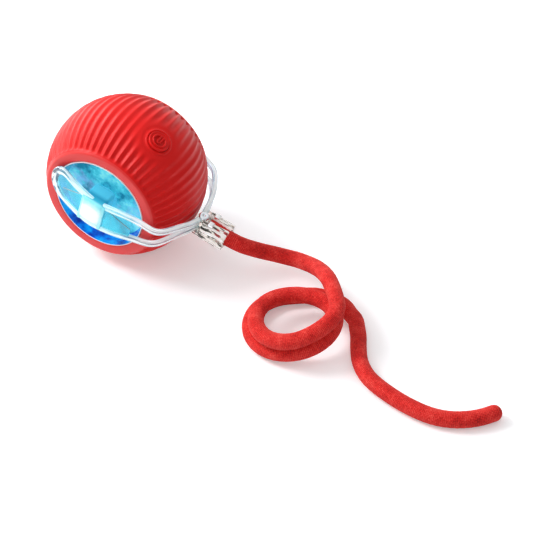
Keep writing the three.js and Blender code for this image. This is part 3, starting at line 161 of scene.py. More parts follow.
def smoothstep(value, start, end):
    share = np.clip((value - start) / (end - start), 0, 1)
    return share * share * (3 - 2 * share)


def mix(start, end, share):
    return start + (end - start) * share


# Colours are written as they look on screen and turned into linear light here
def linear(colour):
    channels = [int(colour[i:i + 2], 16) / 255 for i in (0, 2, 4)]
    return (
        *(c / 12.92 if c <= 0.04045 else ((c + 0.055) / 1.055) ** 2.4 for c in channels), 1.0,
    )


# Camera: above the near left, looking down on the ball's open end and along the tail. It sees
# what is between two distances in metres.
CAMERA_AZIMUTH = math.radians(28.99)
CAMERA_ELEVATION = math.radians(42.44)
CAMERA_DISTANCE = 650.0
CAMERA_AIM = (44.856, -29.954)
CAMERA_LENS = 136.25
CAMERA_SENSOR = 36
CAMERA_REACH = (0.01, 20)


def camera_axes():
    right = Vector((math.cos(CAMERA_AZIMUTH), math.sin(CAMERA_AZIMUTH), 0))
    back = Vector((
        math.sin(CAMERA_AZIMUTH) * math.cos(CAMERA_ELEVATION),
        -math.cos(CAMERA_AZIMUTH) * math.cos(CAMERA_ELEVATION),
        math.sin(CAMERA_ELEVATION),
    ))
    return right, back.cross(right), back


def new_object(name, data):
    made = bpy.data.objects.new(name, data)
    bpy.context.scene.collection.objects.link(made)
    return made


def add_camera():
    right, up, back = camera_axes()
    data = bpy.data.cameras.new("camera")
    data.lens = CAMERA_LENS
    data.sensor_width = CAMERA_SENSOR
    data.clip_start, data.clip_end = CAMERA_REACH
    camera = new_object("camera", data)
    place = Vector((0, 0, BALL_RADIUS)) + right * CAMERA_AIM[0] + up * CAMERA_AIM[1]
    place = (place + back * CAMERA_DISTANCE) * MM
    turned = Matrix((right, up, back)).transposed().to_4x4()
    camera.matrix_world = Matrix.Translation(place) @ turned
    bpy.context.scene.camera = camera


# Meshes
def mesh_object(name, points, faces, materials, smooth=True, uvs=None, zones=None):
    mesh = bpy.data.meshes.new(name)
    mesh.from_pydata((np.asarray(points, float) * MM).tolist(), [], faces)
    mesh.update()
    mesh.polygons.foreach_set("use_smooth", [smooth] * len(mesh.polygons))
    for material in materials if isinstance(materials, list) else [materials]:
        mesh.materials.append(material)
    if zones is not None:
        mesh.polygons.foreach_set("material_index", zones)
    if uvs is not None:
        layer = mesh.uv_layers.new(name="surface")
        corners = np.array([uv for face in uvs for uv in face], float).ravel()
        layer.data.foreach_set("uv", corners)
    return new_object(name, mesh)


def ring_faces(rows, columns, closed_rows=False):
    faces = []
    for row in range(rows if closed_rows else rows - 1):
        below, above = row * columns, ((row + 1) % rows) * columns
        for column in range(columns):
            after = (column + 1) % columns
            faces.append((below + column, below + after, above + after, above + column))
    return faces


def outward(piece):
    """Turns every face of a closed mesh to look out."""
    work = bmesh.new()
    work.from_mesh(piece.data)
    bmesh.ops.recalc_face_normals(work, faces=work.faces)
    work.to_mesh(piece.data)
    work.free()
    return piece


CM_PER_METRE = 100
MM_PER_CM = 10.0


def ring_mesh(name, rings, material, lengths=None):
    """A closed tube through rings of points, with a map round it and along it in centimetres."""
    rows, columns = len(rings), len(rings[0])
    faces = ring_faces(rows, columns)
    uvs = None
    if lengths is not None:
        places = np.asarray(lengths) * MM * CM_PER_METRE
        section = np.asarray(rings[rows // 2], float)
        turned = line_lengths(np.vstack([section, section[:1]]))
        turned /= turned[-1]
        uvs = [
            [(turned[column], places[row]), (turned[column + 1], places[row]),
             (turned[column + 1], places[row + 1]), (turned[column], places[row + 1])]
            for row in range(rows - 1) for column in range(columns)
        ]
        uvs += [[(0.5, places[row])] * columns for row in (0, rows - 1)]
    faces.append(tuple(range(columns)))
    faces.append(tuple(range((rows - 1) * columns, rows * columns)))
    points = np.asarray(rings, float).reshape(-1, 3)
    return outward(mesh_object(name, points, faces, material, uvs=uvs))


def rounded_section(half_width, half_height, radius, steps=5):
    """A rectangle with round corners, as [across, up] points."""
    corners = ((1, 1, 0), (-1, 1, 90), (-1, -1, 180), (1, -1, 270))
    return np.array([
        (x * (half_width - radius) + radius * math.cos(angle),
         y * (half_height - radius) + radius * math.sin(angle))
        for x, y, start in corners
        for angle in np.radians(np.linspace(start, start + 90, steps))
    ])


LEAST_ROUNDING = 0.02


def eased(edge, steps):
    """How far in from the end and from the sides a rounded edge is, at each of its steps."""
    return [
        (edge * (1 - math.cos(a)), edge * (1 - math.sin(a)))
        for a in np.linspace(0, math.pi / 2, steps)
    ]


def rounded_block(name, low, high, edge, material):
    """A block with its edges and corners rounded, its rings across x."""
    low, high = np.asarray(low, float), np.asarray(high, float)
    middle, half = (low + high) / 2, (high - low) / 2
    stations = [(low[0] + inset, shrink) for inset, shrink in eased(edge, 5)]
    stations += [(high[0] - inset, shrink) for inset, shrink in reversed(eased(edge, 5))]
    rings = []
    for x, shrink in stations:
        radius = max(edge - shrink, LEAST_ROUNDING)
        section = rounded_section(half[1] - shrink, half[2] - shrink, radius)
        rings.append([(x, middle[1] + y, middle[2] + z) for y, z in section])
    return ring_mesh(name, rings, material)


def full_turn(sides):
    return 2 * math.pi * np.arange(sides) / sides


def unit(vectors):
    return vectors / np.linalg.norm(vectors, axis=1)[:, None]


def directions(line):
    return unit(np.gradient(line, axis=0))


def carried(line, outs, section):
    """Rings of a section carried along a line, its second axis kept towards outs."""
    along = directions(line)
    across = unit(np.cross(along, outs))
    square = np.cross(across, along)
    section = np.asarray(section, float)
    return (
        line[:, None] + section[None, :, :1] * across[:, None]
        + section[None, :, 1:] * square[:, None]
    )


def line_lengths(line):
    return np.r_[0, np.cumsum(np.linalg.norm(np.diff(line, axis=0), axis=1))]


def creased(piece, degrees):
    """Shades a piece sharply along edges that bend by more than this."""
    piece.data.set_sharp_from_angle(angle=math.radians(degrees))


def apply_modifiers(piece):
    graph = bpy.context.evaluated_depsgraph_get()
    mesh = bpy.data.meshes.new_from_object(piece.evaluated_get(graph))
    piece.modifiers.clear()
    piece.data = mesh


def combined(piece, tool, operation):
    """Joins a tool to a piece, or cuts it out, and removes the tool."""
    change = piece.modifiers.new(operation.lower(), "BOOLEAN")
    change.operation = operation
    change.solver = "EXACT"
    change.object = tool
    apply_modifiers(piece)
    bpy.data.objects.remove(tool)
    return piece


CURVE_SAMPLES = 24


def curve_through(points, step):
    """Points at an even spacing on a centripetal Catmull-Rom curve through the given ones."""
    given = np.asarray(points, float)
    given = np.vstack([2 * given[0] - given[1], given, 2 * given[-1] - given[-2]])
    found = []
    for before, start, end, after in zip(given, given[1:], given[2:], given[3:]):
        knots = [0.0]
        for a, b in ((before, start), (start, end), (end, after)):
            knots.append(knots[-1] + max(np.linalg.norm(b - a), 1e-9) ** 0.5)
        t0, t1, t2, t3 = knots
        for t in np.linspace(t1, t2, CURVE_SAMPLES, endpoint=False):
            a1 = ((t1 - t) * before + (t - t0) * start) / (t1 - t0)
            a2 = ((t2 - t) * start + (t - t1) * end) / (t2 - t1)
            a3 = ((t3 - t) * end + (t - t2) * after) / (t3 - t2)
            b1 = ((t2 - t) * a1 + (t - t0) * a2) / (t2 - t0)
            b2 = ((t3 - t) * a2 + (t - t1) * a3) / (t3 - t1)
            found.append(((t2 - t) * b1 + (t - t1) * b2) / (t2 - t1))
    return resampled(np.array([*found, given[-2]]), step)


def along_line(wanted, lengths, line):
    """Points of a line, or what is kept with them, at the wanted lengths."""
    return np.array([np.interp(wanted, lengths, values) for values in line.T]).T


def resampled(line, step):
    lengths = line_lengths(line)
    even = np.linspace(0, lengths[-1], max(2, round(lengths[-1] / step) + 1))
    return along_line(even, lengths, line)


def softened(line, step, reach):
    """The line with its bends eased over a reach, its two ends kept."""
    count = round(3 * reach / step)
    kernel = np.exp(-0.5 * (np.arange(-count, count + 1) * step / reach) ** 2)
    kernel /= kernel.sum()
    before = 2 * line[0] - line[count:0:-1]
    after = 2 * line[-1] - line[-2:-count - 2:-1]
    padded = np.vstack([before, line, after])
    return np.column_stack([np.convolve(padded[:, axis], kernel, "valid") for axis in range(3)])


def line_frames(line, across):
    """The way along a line at each point, and two unit vectors across it that don't twist."""
    along = directions(line)
    sides, side = [], np.asarray(across, float)
    for direction in along:
        side = side - direction * side.dot(direction)
        side = side / np.linalg.norm(side)
        sides.append(side)
    sides = np.array(sides)
    return along, sides, np.cross(along, sides)


# Rope route, the same as in the CAD
def coil_point(turned):
    shift = smoothstep(turned, *COIL_SHIFT_DEG)
    lead_in = COIL_LEAD_IN * (1 - smoothstep(turned, 0, COIL_LEAD_IN_DEG))
    radius = mix(COIL_RADIUS, COIL_LOWER_RADIUS, shift) + lead_in
    drops = smoothstep(turned, *COIL_FIRST_DROP_DEG) + smoothstep(turned, *COIL_LAST_DROP_DEG)
    angle = math.radians(COIL_START_DEG - turned)
    return [
        mix(COIL_PLACE[0], COIL_LOWER_PLACE[0], shift) + radius * math.cos(angle),
        mix(COIL_PLACE[1], COIL_LOWER_PLACE[1], shift) + radius * math.sin(angle),
        CORD_DIAMETER / 2 + (2 - drops) * CORD_LEVEL,
    ]


def from_yoke(point):
    """A place in the yoke's own frame, turned down towards the tail and lifted to the axle."""
    x, y, z = point
    return np.array([
        x * math.cos(TAIL_PITCH) + z * math.sin(TAIL_PITCH), y,
        CENTRE_HEIGHT - x * math.sin(TAIL_PITCH) + z * math.cos(TAIL_PITCH),
    ])


def rope_route():
    steps = round(COIL_STEPS_PER_TURN * COIL_TURN_DEG / 360)
    inside = (CORD_START_X, (CORD_START_X + CLAMP_END) / 2, CLAMP_END)
    return np.array([
        *[from_yoke((x, 0, -TAIL_DROP)) for x in inside],
        *CORD_LEAD_ROUTE,
        *[coil_point(COIL_TURN_DEG * i / steps) for i in range(steps + 1)],
        *[(x, y, CORD_DIAMETER / 2) for x, y in CORD_END_ROUTE],
    ])


ROPE_SIDES = 80
ROPE_STEP = 0.31
ROPE_RADIUS = 2.57
ROPE_EASE = 0.9
ROPE_FIRM_POINTS = 9
ROPE_CARRIERS = 16
ROPE_LAY = 0.95
ROPE_RELIEF = 0.09
ROPE_MEAN_RELIEF = 0.7
STRAND_FULLNESS = 0.8
STRAND_RISE = 0.45
DOME_SHARES = np.linspace(0.12, 1, 10)
DOME_TIP = 0.02
ROPE_WEAVE = 18
ROPE_WEAVE_LAY = 1.0


def braid_height(around, along):
    """Plaited strands of two hands: each lies over and under the other in turn."""
    first, second = (
        np.cos(math.pi * (around * ROPE_CARRIERS + hand * along / ROPE_LAY / 2))
        for hand in (1, -1)
    )
    rise = STRAND_RISE * (first * second)
    return np.maximum(
        np.abs(first) ** STRAND_FULLNESS + rise, np.abs(second) ** STRAND_FULLNESS - rise,
    ) / (1 + STRAND_RISE)


def add_rope(material):
    line = curve_through(rope_route(), ROPE_STEP)
    smooth = softened(line, ROPE_STEP, ROPE_EASE)
    firm = ROPE_FIRM_POINTS
    line = np.vstack([line[:firm], smooth[firm:-firm], line[-firm:]])
    lengths = line_lengths(line)
    along, side, up = line_frames(line, (0, 0, 1))
    rings = [(*ring, 1.0) for ring in zip(line, side, up, lengths)]
    # The far end is domed: rings shrink over its last radius
    for share in DOME_SHARES:
        bend = share * math.pi / 2
        rings.append((
            line[-1] + along[-1] * ROPE_RADIUS * math.sin(bend), side[-1], up[-1],
            lengths[-1] + ROPE_RADIUS * share, max(math.cos(bend), DOME_TIP),
        ))
    around = np.arange(ROPE_SIDES) / ROPE_SIDES
    turn = 2 * math.pi * around
    cosines, sines = np.cos(turn)[:, None], np.sin(turn)[:, None]
    points = []
    for place, a, b, length, share in rings:
        relief = ROPE_RELIEF * (braid_height(around, length) - ROPE_MEAN_RELIEF)
        radius = (ROPE_RADIUS + relief) * share
        points.append(place + radius[:, None] * (cosines * a + sines * b))
    points = np.array(points)
    points[:, :, 2] = np.maximum(points[:, :, 2], RESTING_HEIGHT)
    rope = ring_mesh("braided_rope", points, material, lengths=[ring[3] for ring in rings])
    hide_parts("tail_cord_lead", "tail_cord_coil", "tail_cord_end")
    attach(rope, "yoke")


# Nodes of materials and of geometry trees
def node(tree, kind, values=(), stops=(), **settings):
    """Adds a node with its settings, values, links and colour stops. Values go in order to the
    inputs in use, or by name. A node given as a value is linked by its first output in use."""
    whole = kind.startswith(("Geometry", "NodeGroup"))
    made = tree.nodes.new(kind if whole else "ShaderNode" + kind)
    for name, setting in settings.items():
        setattr(made, name, setting)
    for index, (place, colour) in enumerate(stops):
        elements = made.color_ramp.elements
        element = elements[index] if index < len(elements) else elements.new(place)
        element.position, element.color = place, linear(colour)
    in_use = [socket for socket in made.inputs if socket.enabled]
    for name, value in values.items() if isinstance(values, dict) else enumerate(values):
        socket = made.inputs[name] if isinstance(name, str) else in_use[name]
        if isinstance(value, bpy.types.Node):
            value = next(output for output in value.outputs if output.enabled)
        if isinstance(value, bpy.types.NodeSocket):
            tree.links.new(value, socket)
        elif isinstance(value, str) and socket.type == "RGBA":
            socket.default_value = linear(value)
        else:
            socket.default_value = value
    return made


def new_material(name):
    """An empty material, with its tree."""
    material = bpy.data.materials.new(name)
    material.use_nodes = True
    material.node_tree.nodes.clear()
    return material, material.node_tree


def repeats(size):
    """How often in a metre a pattern comes that is this many millimetres wide."""
    return 1 / (size * MM)


def surface_map(tree):
    """How far round a tube, from 0 to 1, and how far along it in millimetres."""
    where = node(tree, "SeparateXYZ", [node(tree, "UVMap", uv_map="surface")])
    along = node(tree, "Math", [where.outputs["Y"], MM_PER_CM], operation="MULTIPLY")
    return where.outputs["X"], along


def glow(tree, near, far):
    """1 near the axle and 0 away from it: the lamps light the yoke from its middle. Also gives
    how far out from the ball's middle a place is."""
    place = node(tree, "TexCoord").outputs["Object"]
    from_middle = node(
        tree, "VectorMath", [place, (0.0, 0.0, CENTRE_HEIGHT * MM)], operation="SUBTRACT",
    )
    parts = node(tree, "SeparateXYZ", [from_middle]).outputs
    flat = node(tree, "CombineXYZ", {"X": parts["X"], "Z": parts["Z"]})
    reach = node(tree, "VectorMath", [flat], operation="LENGTH")
    lit = node(
        tree, "MapRange", [reach, near * MM, far * MM, 1.0, 0.0], interpolation_type="SMOOTHSTEP",
    )
    return lit, parts["Y"]


# Detail and roughness of the noise in a pattern, from soft to broken
SOFT = (2, 0.55)
EVEN = (3, 0.55)
GRAINY = (3, 0.6)
CLOUDY = (4, 0.6)


# Rope: polyester yarn, dyed red and plaited on a braiding machine. Its strands cross in two hands
# at a lay of 1 mm, and its loose fibres make it matt, mottled and a little furry at its edges.
def braided_polyester():
    material, tree = new_material("braided_polyester")
    around, along = surface_map(tree)
    turned = node(tree, "Math", [around, ROPE_WEAVE * 2 * math.pi], operation="MULTIPLY")
    laid = node(tree, "Math", [along, 2 * math.pi / ROPE_WEAVE_LAY], operation="MULTIPLY")
    hands = [
        node(tree, "Math", [node(tree, "Math", [turned, laid], operation=hand)], operation="SINE")
        for hand in ("ADD", "SUBTRACT")
    ]
    crossing = node(tree, "Math", hands, operation="MULTIPLY")
    place = node(tree, "TexCoord").outputs["Object"]
    # The dye takes unevenly from one bundle of yarn to the next, about 5 mm apart
    mottle = node(tree, "TexNoise", {
        "Vector": place, "Scale": repeats(5), "Detail": 5, "Roughness": 0.7,
    })
    # A fibre is 0.02 mm thick: too fine to show, so its fuzz is drawn 0.42 mm wide
    fibres = node(tree, "TexNoise", [place, repeats(0.42), *GRAINY])
    tone = -0.35
    for pattern, share in ((mottle, 0.9), (crossing, 0.15), (fibres, 0.8)):
        tone = node(tree, "Math", [pattern, share, tone], operation="MULTIPLY_ADD")
    surface = node(tree, "BsdfPrincipled", {
        "Base Color": node(tree, "ValToRGB", [tone], stops=[
            (0.22, "a81216"), (0.40, "dc211e"), (0.55, "ee302b"), (0.76, "fb5e54"),
        ]),
        "Roughness": 0.8, "Specular IOR Level": 0.2,
        "Sheen Weight": 0.3, "Sheen Roughness": 0.5, "Sheen Tint": "ff8a80",
        "Normal": node(tree, "Bump", {
            "Height": node(tree, "Math", [fibres, 0.8, crossing], operation="MULTIPLY_ADD"),
            "Distance": 0.1 * MM, "Strength": 0.9,
        }),
    })
    node(tree, "OutputMaterial", [surface])
    return material


# Sleeve and button: red silicone rubber, pressed in a blasted steel mould. It is a deep satin
# red that never glares. Its smooth rims catch more of the room than its ribs do.
def silicone_rubber(name, gloss, sheen):
    material, tree = new_material(name)
    place = node(tree, "TexCoord").outputs["Object"]
    # The pigment clouds over 16 mm or so, and handling wears the sheen in patches of 4.5 mm
    cloud = node(tree, "TexNoise", [place, repeats(16.7), *EVEN])
    worn = node(tree, "TexNoise", [place, repeats(4.5), *EVEN])
    # The blasting leaves a grain of 0.05 mm: too fine to show, so it is drawn 0.38 mm wide
    grain = node(tree, "TexNoise", [place, repeats(0.38), *EVEN])
    surface = node(tree, "BsdfPrincipled", {
        "Base Color": node(tree, "ValToRGB", [cloud], stops=[(0.3, "da100f"), (0.7, "e41614")]),
        "Roughness": node(tree, "MapRange", [worn, 0.0, 1.0, 0.36, 0.44]),
        "Specular IOR Level": gloss,
        "Sheen Weight": sheen, "Sheen Roughness": 0.5, "Sheen Tint": "ff8f88",
        "Normal": node(tree, "Bump", {"Height": grain, "Distance": 0.012 * MM, "Strength": 0.5}),
    })
    node(tree, "OutputMaterial", [surface])
    return material


# End wall of the recess: clear polycarbonate, moulded and lit from behind. It glows a mottled
# aqua, with paler and lilac clouds where the lamps and the works behind it show through.
def lit_end_wall():
    material, tree = new_material("lit_polycarbonate")
    place = node(tree, "TexCoord").outputs["Object"]
    broad = node(tree, "TexNoise", [place, repeats(8), *CLOUDY])
    fine = node(tree, "TexNoise", [place, repeats(1.4), *GRAINY])
    aside = node(tree, "VectorMath", [place, (0.7, 0.2, 0.4)], operation="ADD")
    patches = node(tree, "TexNoise", [aside, repeats(9.5), *CLOUDY])
    lilac = node(tree, "MapRange", [patches, 0.50, 0.64, 0.0, 0.7])
    tone = node(tree, "Math", [
        fine, 0.14, node(tree, "Math", [broad, 0.07], operation="SUBTRACT"),
    ], operation="MULTIPLY_ADD")
    aqua = node(tree, "ValToRGB", [tone], stops=[
        (0.35, "1a7a96"), (0.41, "34a0ba"), (0.47, "46bece"), (0.53, "62d0de"), (0.63, "92e6ea"),
    ])
    colour = node(tree, "Mix", [lilac, aqua, "88aee0"], data_type="RGBA")
    surface = node(tree, "BsdfPrincipled", {
        "Base Color": colour, "Emission Color": colour, "Emission Strength": 0.42,
        "Roughness": 0.2, "Specular IOR Level": 0.2,
        "Normal": node(tree, "Bump", {"Height": broad, "Distance": 0.3 * MM, "Strength": 0.4}),
    })
    node(tree, "OutputMaterial", [surface])
    return material


# Side wall of the recess: the same polycarbonate seen edge on, so deeper: bright blue with dark
# blue pools some 5 mm wide. Towards its top it is painted aqua, painted light where it faces the
# end wall's light; lower down its deeper blue is partly the thick plastic and partly painted
# shade.
# It glows as painted light.
def lit_side_wall():
    material, tree = new_material("lit_polycarbonate_side")
    place = node(tree, "TexCoord").outputs["Object"]
    pools = node(tree, "TexNoise", [place, repeats(5.3), *GRAINY])
    blue = node(tree, "ValToRGB", [pools], stops=[
        (0.36, "1a2c94"), (0.45, "0a56c4"), (0.55, "0888e0"), (0.68, "1cb4ee"),
    ])
    # Painted light: the wall turns aqua towards its top
    height = node(tree, "SeparateXYZ", [place]).outputs["Z"]
    upper = node(tree, "MapRange", [height, (CENTRE_HEIGHT - 5) * MM, (CENTRE_HEIGHT + 4) * MM])
    colour = node(tree, "Mix", [upper, blue, "3fa8c4"], data_type="RGBA")
    surface = node(tree, "BsdfPrincipled", {
        # Painted light: the wall glows
        "Base Color": colour, "Emission Color": colour, "Emission Strength": 0.3,
        "Roughness": 0.15, "Specular IOR Level": 0.3,
    })
    node(tree, "OutputMaterial", [surface])
    return material


CLEAR_IOR = 1.49
CLAMP_IOR = 1.45
# The painted dark refraction lines come this often in the noise that is drawn round the clamp
CLAMP_LINES = 16.0


# Clear polycarbonate in a polished mould: nearly no colour of its own, with soft waves about
# 6 mm long where it flowed. Its IOR, 1.58 by the book, is lower so that it shows less dark room.
def clear_polycarbonate(name, tint, light, roughness, transmission, lit=0.0):
    material, tree = new_material(name)
    place = node(tree, "TexCoord").outputs["Object"]
    cloud = node(tree, "TexNoise", [place, repeats(11), *SOFT])
    flow = node(tree, "TexNoise", [place, repeats(6.2), *SOFT])
    surface = node(tree, "BsdfPrincipled", {
        "Base Color": node(tree, "ValToRGB", [cloud], stops=[(0.3, tint), (0.7, light)]),
        "Roughness": roughness, "Transmission Weight": transmission, "IOR": CLEAR_IOR,
        "Emission Color": "20bcd0", "Emission Strength": lit,
        "Normal": node(tree, "Bump", {"Height": flow, "Distance": 0.2 * MM, "Strength": 0.25}),
    })
    node(tree, "OutputMaterial", [surface])
    return material


# Turns round a rail from its map's start to the middle of its outer face and to its first corner
RAIL_FACE_TURN = 0.19 * 2 * math.pi
RAIL_CORNER_TURN = 0.0625 * 2 * math.pi
RAIL_CORNERS = 4.0
RAIL_LIT_REACH = (6.0, 15.0)
RAIL_DARK_REACH = (2.5, 8.0)


# Rails: clear polycarbonate bars. As a thick clear bar would, each shows pale faces between dark
# lines along its corners, with flow lines some 9 mm long: a painted highlight on its outer face
# and painted dark refraction on its corners. It is painted milky aqua where the lamps shine into
# it, and glows a little all along as painted light.
def rail_polycarbonate(free_end):
    material, tree = new_material("clear_polycarbonate_rail")
    around, along = surface_map(tree)
    turn = node(tree, "Math", [around, 2 * math.pi], operation="MULTIPLY")
    where = node(tree, "CombineXYZ", [
        node(tree, "Math", [turn], operation="COSINE"),
        node(tree, "Math", [turn], operation="SINE"),
        node(tree, "Math", [along, 0.05], operation="MULTIPLY"),
    ])
    flow = node(tree, "TexNoise", [where, 2.2, *GRAINY])
    # Painted highlight: the outer face is drawn a little paler
    facing = node(tree, "Math", [turn, RAIL_FACE_TURN], operation="SUBTRACT")
    outer = node(tree, "Math", [facing], operation="COSINE")
    # A painted dark refraction line along each of the four corners, fading where the bar is lit
    lit, _ = glow(tree, *RAIL_LIT_REACH)
    corner = node(tree, "Math", [turn, RAIL_CORNER_TURN], operation="SUBTRACT")
    corner = node(tree, "Math", [corner, RAIL_CORNERS], operation="MULTIPLY")
    lines = node(tree, "Math", [
        node(tree, "Math", [corner], operation="COSINE"),
        node(tree, "Math", [1.1, lit], operation="SUBTRACT"),
    ], operation="MULTIPLY")
    # The bend round the free end is thicker and shows more of the dark room: a painted reflection,
    # darker in waves of 2.4 mm
    off = node(tree, "Math", [along, free_end], operation="SUBTRACT")
    off = node(tree, "Math", [off], operation="ABSOLUTE")
    bend = node(
        tree, "MapRange", [off, *RAIL_DARK_REACH, 1.0, 0.0], interpolation_type="SMOOTHSTEP",
    )
    place = node(tree, "TexCoord").outputs["Object"]
    wave = node(tree, "TexNoise", [place, repeats(2.4), *SOFT])
    wave = node(tree, "Math", [wave, 0.58], operation="SUBTRACT")
    wave = node(tree, "Math", [wave, bend], operation="MULTIPLY")
    tone = 0.05
    for pattern, share in ((flow, 0.9), (outer, 0.07), (lines, -0.14), (wave, 1.5)):
        tone = node(tree, "Math", [pattern, share, tone], operation="MULTIPLY_ADD")
    clear = node(tree, "ValToRGB", [tone], stops=[
        (0.28, "3f3a58"), (0.36, "8f89aa"), (0.42, "f0eefa"), (0.50, "ffffff"),
    ])
    aqua = node(tree, "ValToRGB", [tone], stops=[
        (0.30, "1d86a8"), (0.37, "6fd4e4"), (0.43, "e8ffff"),
    ])
    window = node(tree, "MapRange", [tone, 0.40, 0.58, 0.8, 0.2])
    surface = node(tree, "BsdfPrincipled", {
        "Base Color": node(tree, "Mix", [lit, clear, aqua], data_type="RGBA"),
        "Roughness": 0.04, "IOR": CLEAR_IOR,
        "Transmission Weight": node(tree, "Math", [lit, -0.1, window], operation="MULTIPLY_ADD"),
        # Painted light: the bar glows a little all along, and more where the lamps shine into it
        "Emission Color": "d4fbfc",
        "Emission Strength": node(tree, "Math", [lit, 0.1, 0.12], operation="MULTIPLY_ADD"),
        "Normal": node(tree, "Bump", {"Height": flow, "Distance": 0.3 * MM, "Strength": 0.3}),
    })
    node(tree, "OutputMaterial", [surface])
    return material


HUB_LIT_REACH = (1.5, 7.0)


# Hub: the lamps shine straight into this block of polycarbonate, so its front is white, its
# sides are aqua, and a darker band shows where the light turns inside it.
def hub_polycarbonate():
    material, tree = new_material("lit_polycarbonate_hub")
    lit, across = glow(tree, *HUB_LIT_REACH)
    across = node(tree, "Math", [across], operation="ABSOLUTE")
    depth = node(tree, "MapRange", [across, HUB_INNER * MM, HUB_OUTER * MM])
    place = node(tree, "TexCoord").outputs["Object"]
    cloud = node(tree, "TexNoise", [place, repeats(3.3), *GRAINY])
    tone = 0.2
    for pattern, share in ((lit, 0.65), (cloud, 0.4)):
        tone = node(tree, "Math", [pattern, share, tone], operation="MULTIPLY_ADD")
    face = node(tree, "ValToRGB", [tone], stops=[
        (0.35, "62d8e4"), (0.7, "bdf4f6"), (0.9, "f4ffff"),
    ])
    sides = node(tree, "ValToRGB", [depth], stops=[
        (0.0, "5cc6e0"), (0.45, "52bcd8"), (0.64, "2a90b4"), (0.86, "3fb0cc"), (0.95, "8fe6f0"),
    ])
    front = node(tree, "MapRange", [depth, 0.92, 0.99])
    colour = node(tree, "Mix", [front, sides, face], data_type="RGBA")
    surface = node(tree, "BsdfPrincipled", {
        "Base Color": colour, "Emission Color": colour,
        "Emission Strength": node(tree, "Math", [front, -0.02, 0.24], operation="MULTIPLY_ADD"),
        "Roughness": 0.1, "Transmission Weight": 0.1, "IOR": CLEAR_IOR,
    })
    node(tree, "OutputMaterial", [surface])
    return material


# Clamp: clear ribbed polycarbonate. Its ribs bend the light, so dark lines 1 mm apart, painted
# refraction, run along it between bright frosted streaks that are painted white and glow a little
# as painted light. Clear windows show the rope inside.
def clamp_polycarbonate():
    material, tree = new_material("ridged_polycarbonate")
    around, along = surface_map(tree)
    where = node(tree, "CombineXYZ", [
        node(tree, "Math", [around, CLAMP_LINES], operation="MULTIPLY"),
        node(tree, "Math", [along, 0.12], operation="MULTIPLY"),
    ])
    lines = node(tree, "TexNoise", {"Vector": where, "Scale": 1.0, "Detail": 2, "Roughness": 0.7})
    shade = node(tree, "ValToRGB", [lines], stops=[
        (0.395, "12100e"), (0.42, "4e483e"), (0.44, "f3efe6"), (0.6, "ffffff"),
    ])
    aside = node(tree, "VectorMath", [where, (7.3, 2.1, 5.0)], operation="ADD")
    patches = node(tree, "TexNoise", {
        "Vector": aside, "Scale": 0.9, "Detail": 2, "Roughness": 0.6,
    })
    window = node(tree, "MapRange", [patches, 0.52, 0.54, 0.05, 1.0])
    painted_glow_streaks = node(tree, "Math", [1.0, window], operation="SUBTRACT")
    surface = node(tree, "BsdfPrincipled", {
        "Base Color": shade, "Emission Color": shade,
        # Painted light: the opaque streaks glow a little
        "Emission Strength": node(tree, "Math", [painted_glow_streaks, 0.18], operation="MULTIPLY"),
        "Roughness": 0.05, "Transmission Weight": window, "IOR": CLAMP_IOR,
        "Normal": node(tree, "Bump", {"Height": lines, "Distance": 0.3 * MM, "Strength": 0.35}),
    })
    node(tree, "OutputMaterial", [surface])
    return material


def hard_finish(name, dark, light, roughness, metallic=0.0, lit=0.0):
    """A hard surface, its tone changing over 7 mm and its polish over 2 mm. Its grain, finer than
    0.1 mm, is drawn 1.1 mm wide."""
    material, tree = new_material(name)
    place = node(tree, "TexCoord").outputs["Object"]
    tone, polish, grain = (
        node(tree, "TexNoise", [place, repeats(size), *EVEN]) for size in (6.7, 2.2, 1.1)
    )
    surface = node(tree, "BsdfPrincipled", {
        "Base Color": node(tree, "ValToRGB", [tone], stops=[(0.3, dark), (0.7, light)]),
        "Roughness": node(tree, "MapRange", [polish, 0.0, 1.0, roughness * 0.8, roughness * 1.2]),
        "Metallic": metallic, "Emission Color": light, "Emission Strength": lit,
        "Normal": node(tree, "Bump", {"Height": grain, "Distance": 0.02 * MM}),
    })
    node(tree, "OutputMaterial", [surface])
    return material


# Geometry trees, for what repeats over a surface or follows a path
def geometry_tree(name, sizes):
    """A tree that takes a mesh and the named sizes, with its input sockets."""
    tree = bpy.data.node_groups.new(name, "GeometryNodeTree")
    for socket, kind in {"Geometry": "Geometry", **sizes}.items():
        tree.interface.new_socket(socket, in_out="INPUT", socket_type="NodeSocket" + kind)
    tree.interface.new_socket("Geometry", in_out="OUTPUT", socket_type="NodeSocketGeometry")
    return tree, node(tree, "NodeGroupInput").outputs


def grown(piece, tree, sizes, marks):
    """Runs a tree on a piece, with these sizes and marks on its points, and keeps a plain mesh."""
    for name, values in marks.items():
        kind, field = ("FLOAT_VECTOR", "vector") if np.ndim(values) > 1 else ("FLOAT", "value")
        mark = piece.data.attributes.new(name, kind, "POINT")
        mark.data.foreach_set(field, np.ravel(values))
    change = piece.modifiers.new(tree.name, "NODES")
    change.node_group = tree
    for socket in tree.interface.items_tree:
        if socket.in_out == "INPUT" and socket.name in sizes:
            change[socket.identifier] = sizes[socket.name]
    apply_modifiers(piece)
    for name in marks:
        left = piece.data.attributes.get(name)
        if left:
            piece.data.attributes.remove(left)
    return piece


def in_material(tree, mesh, material):
    """Ends a tree's work: real meshes in place of instances, in their material."""
    whole = node(tree, "GeometryNodeRealizeInstances", [mesh])
    return node(tree, "GeometryNodeSetMaterial", {"Geometry": whole, "Material": material})


def in_one_material(piece, material):
    piece.data.materials.clear()
    piece.data.materials.append(material)


ARM_STEP = 0.1
ARM_EASE = 1.5


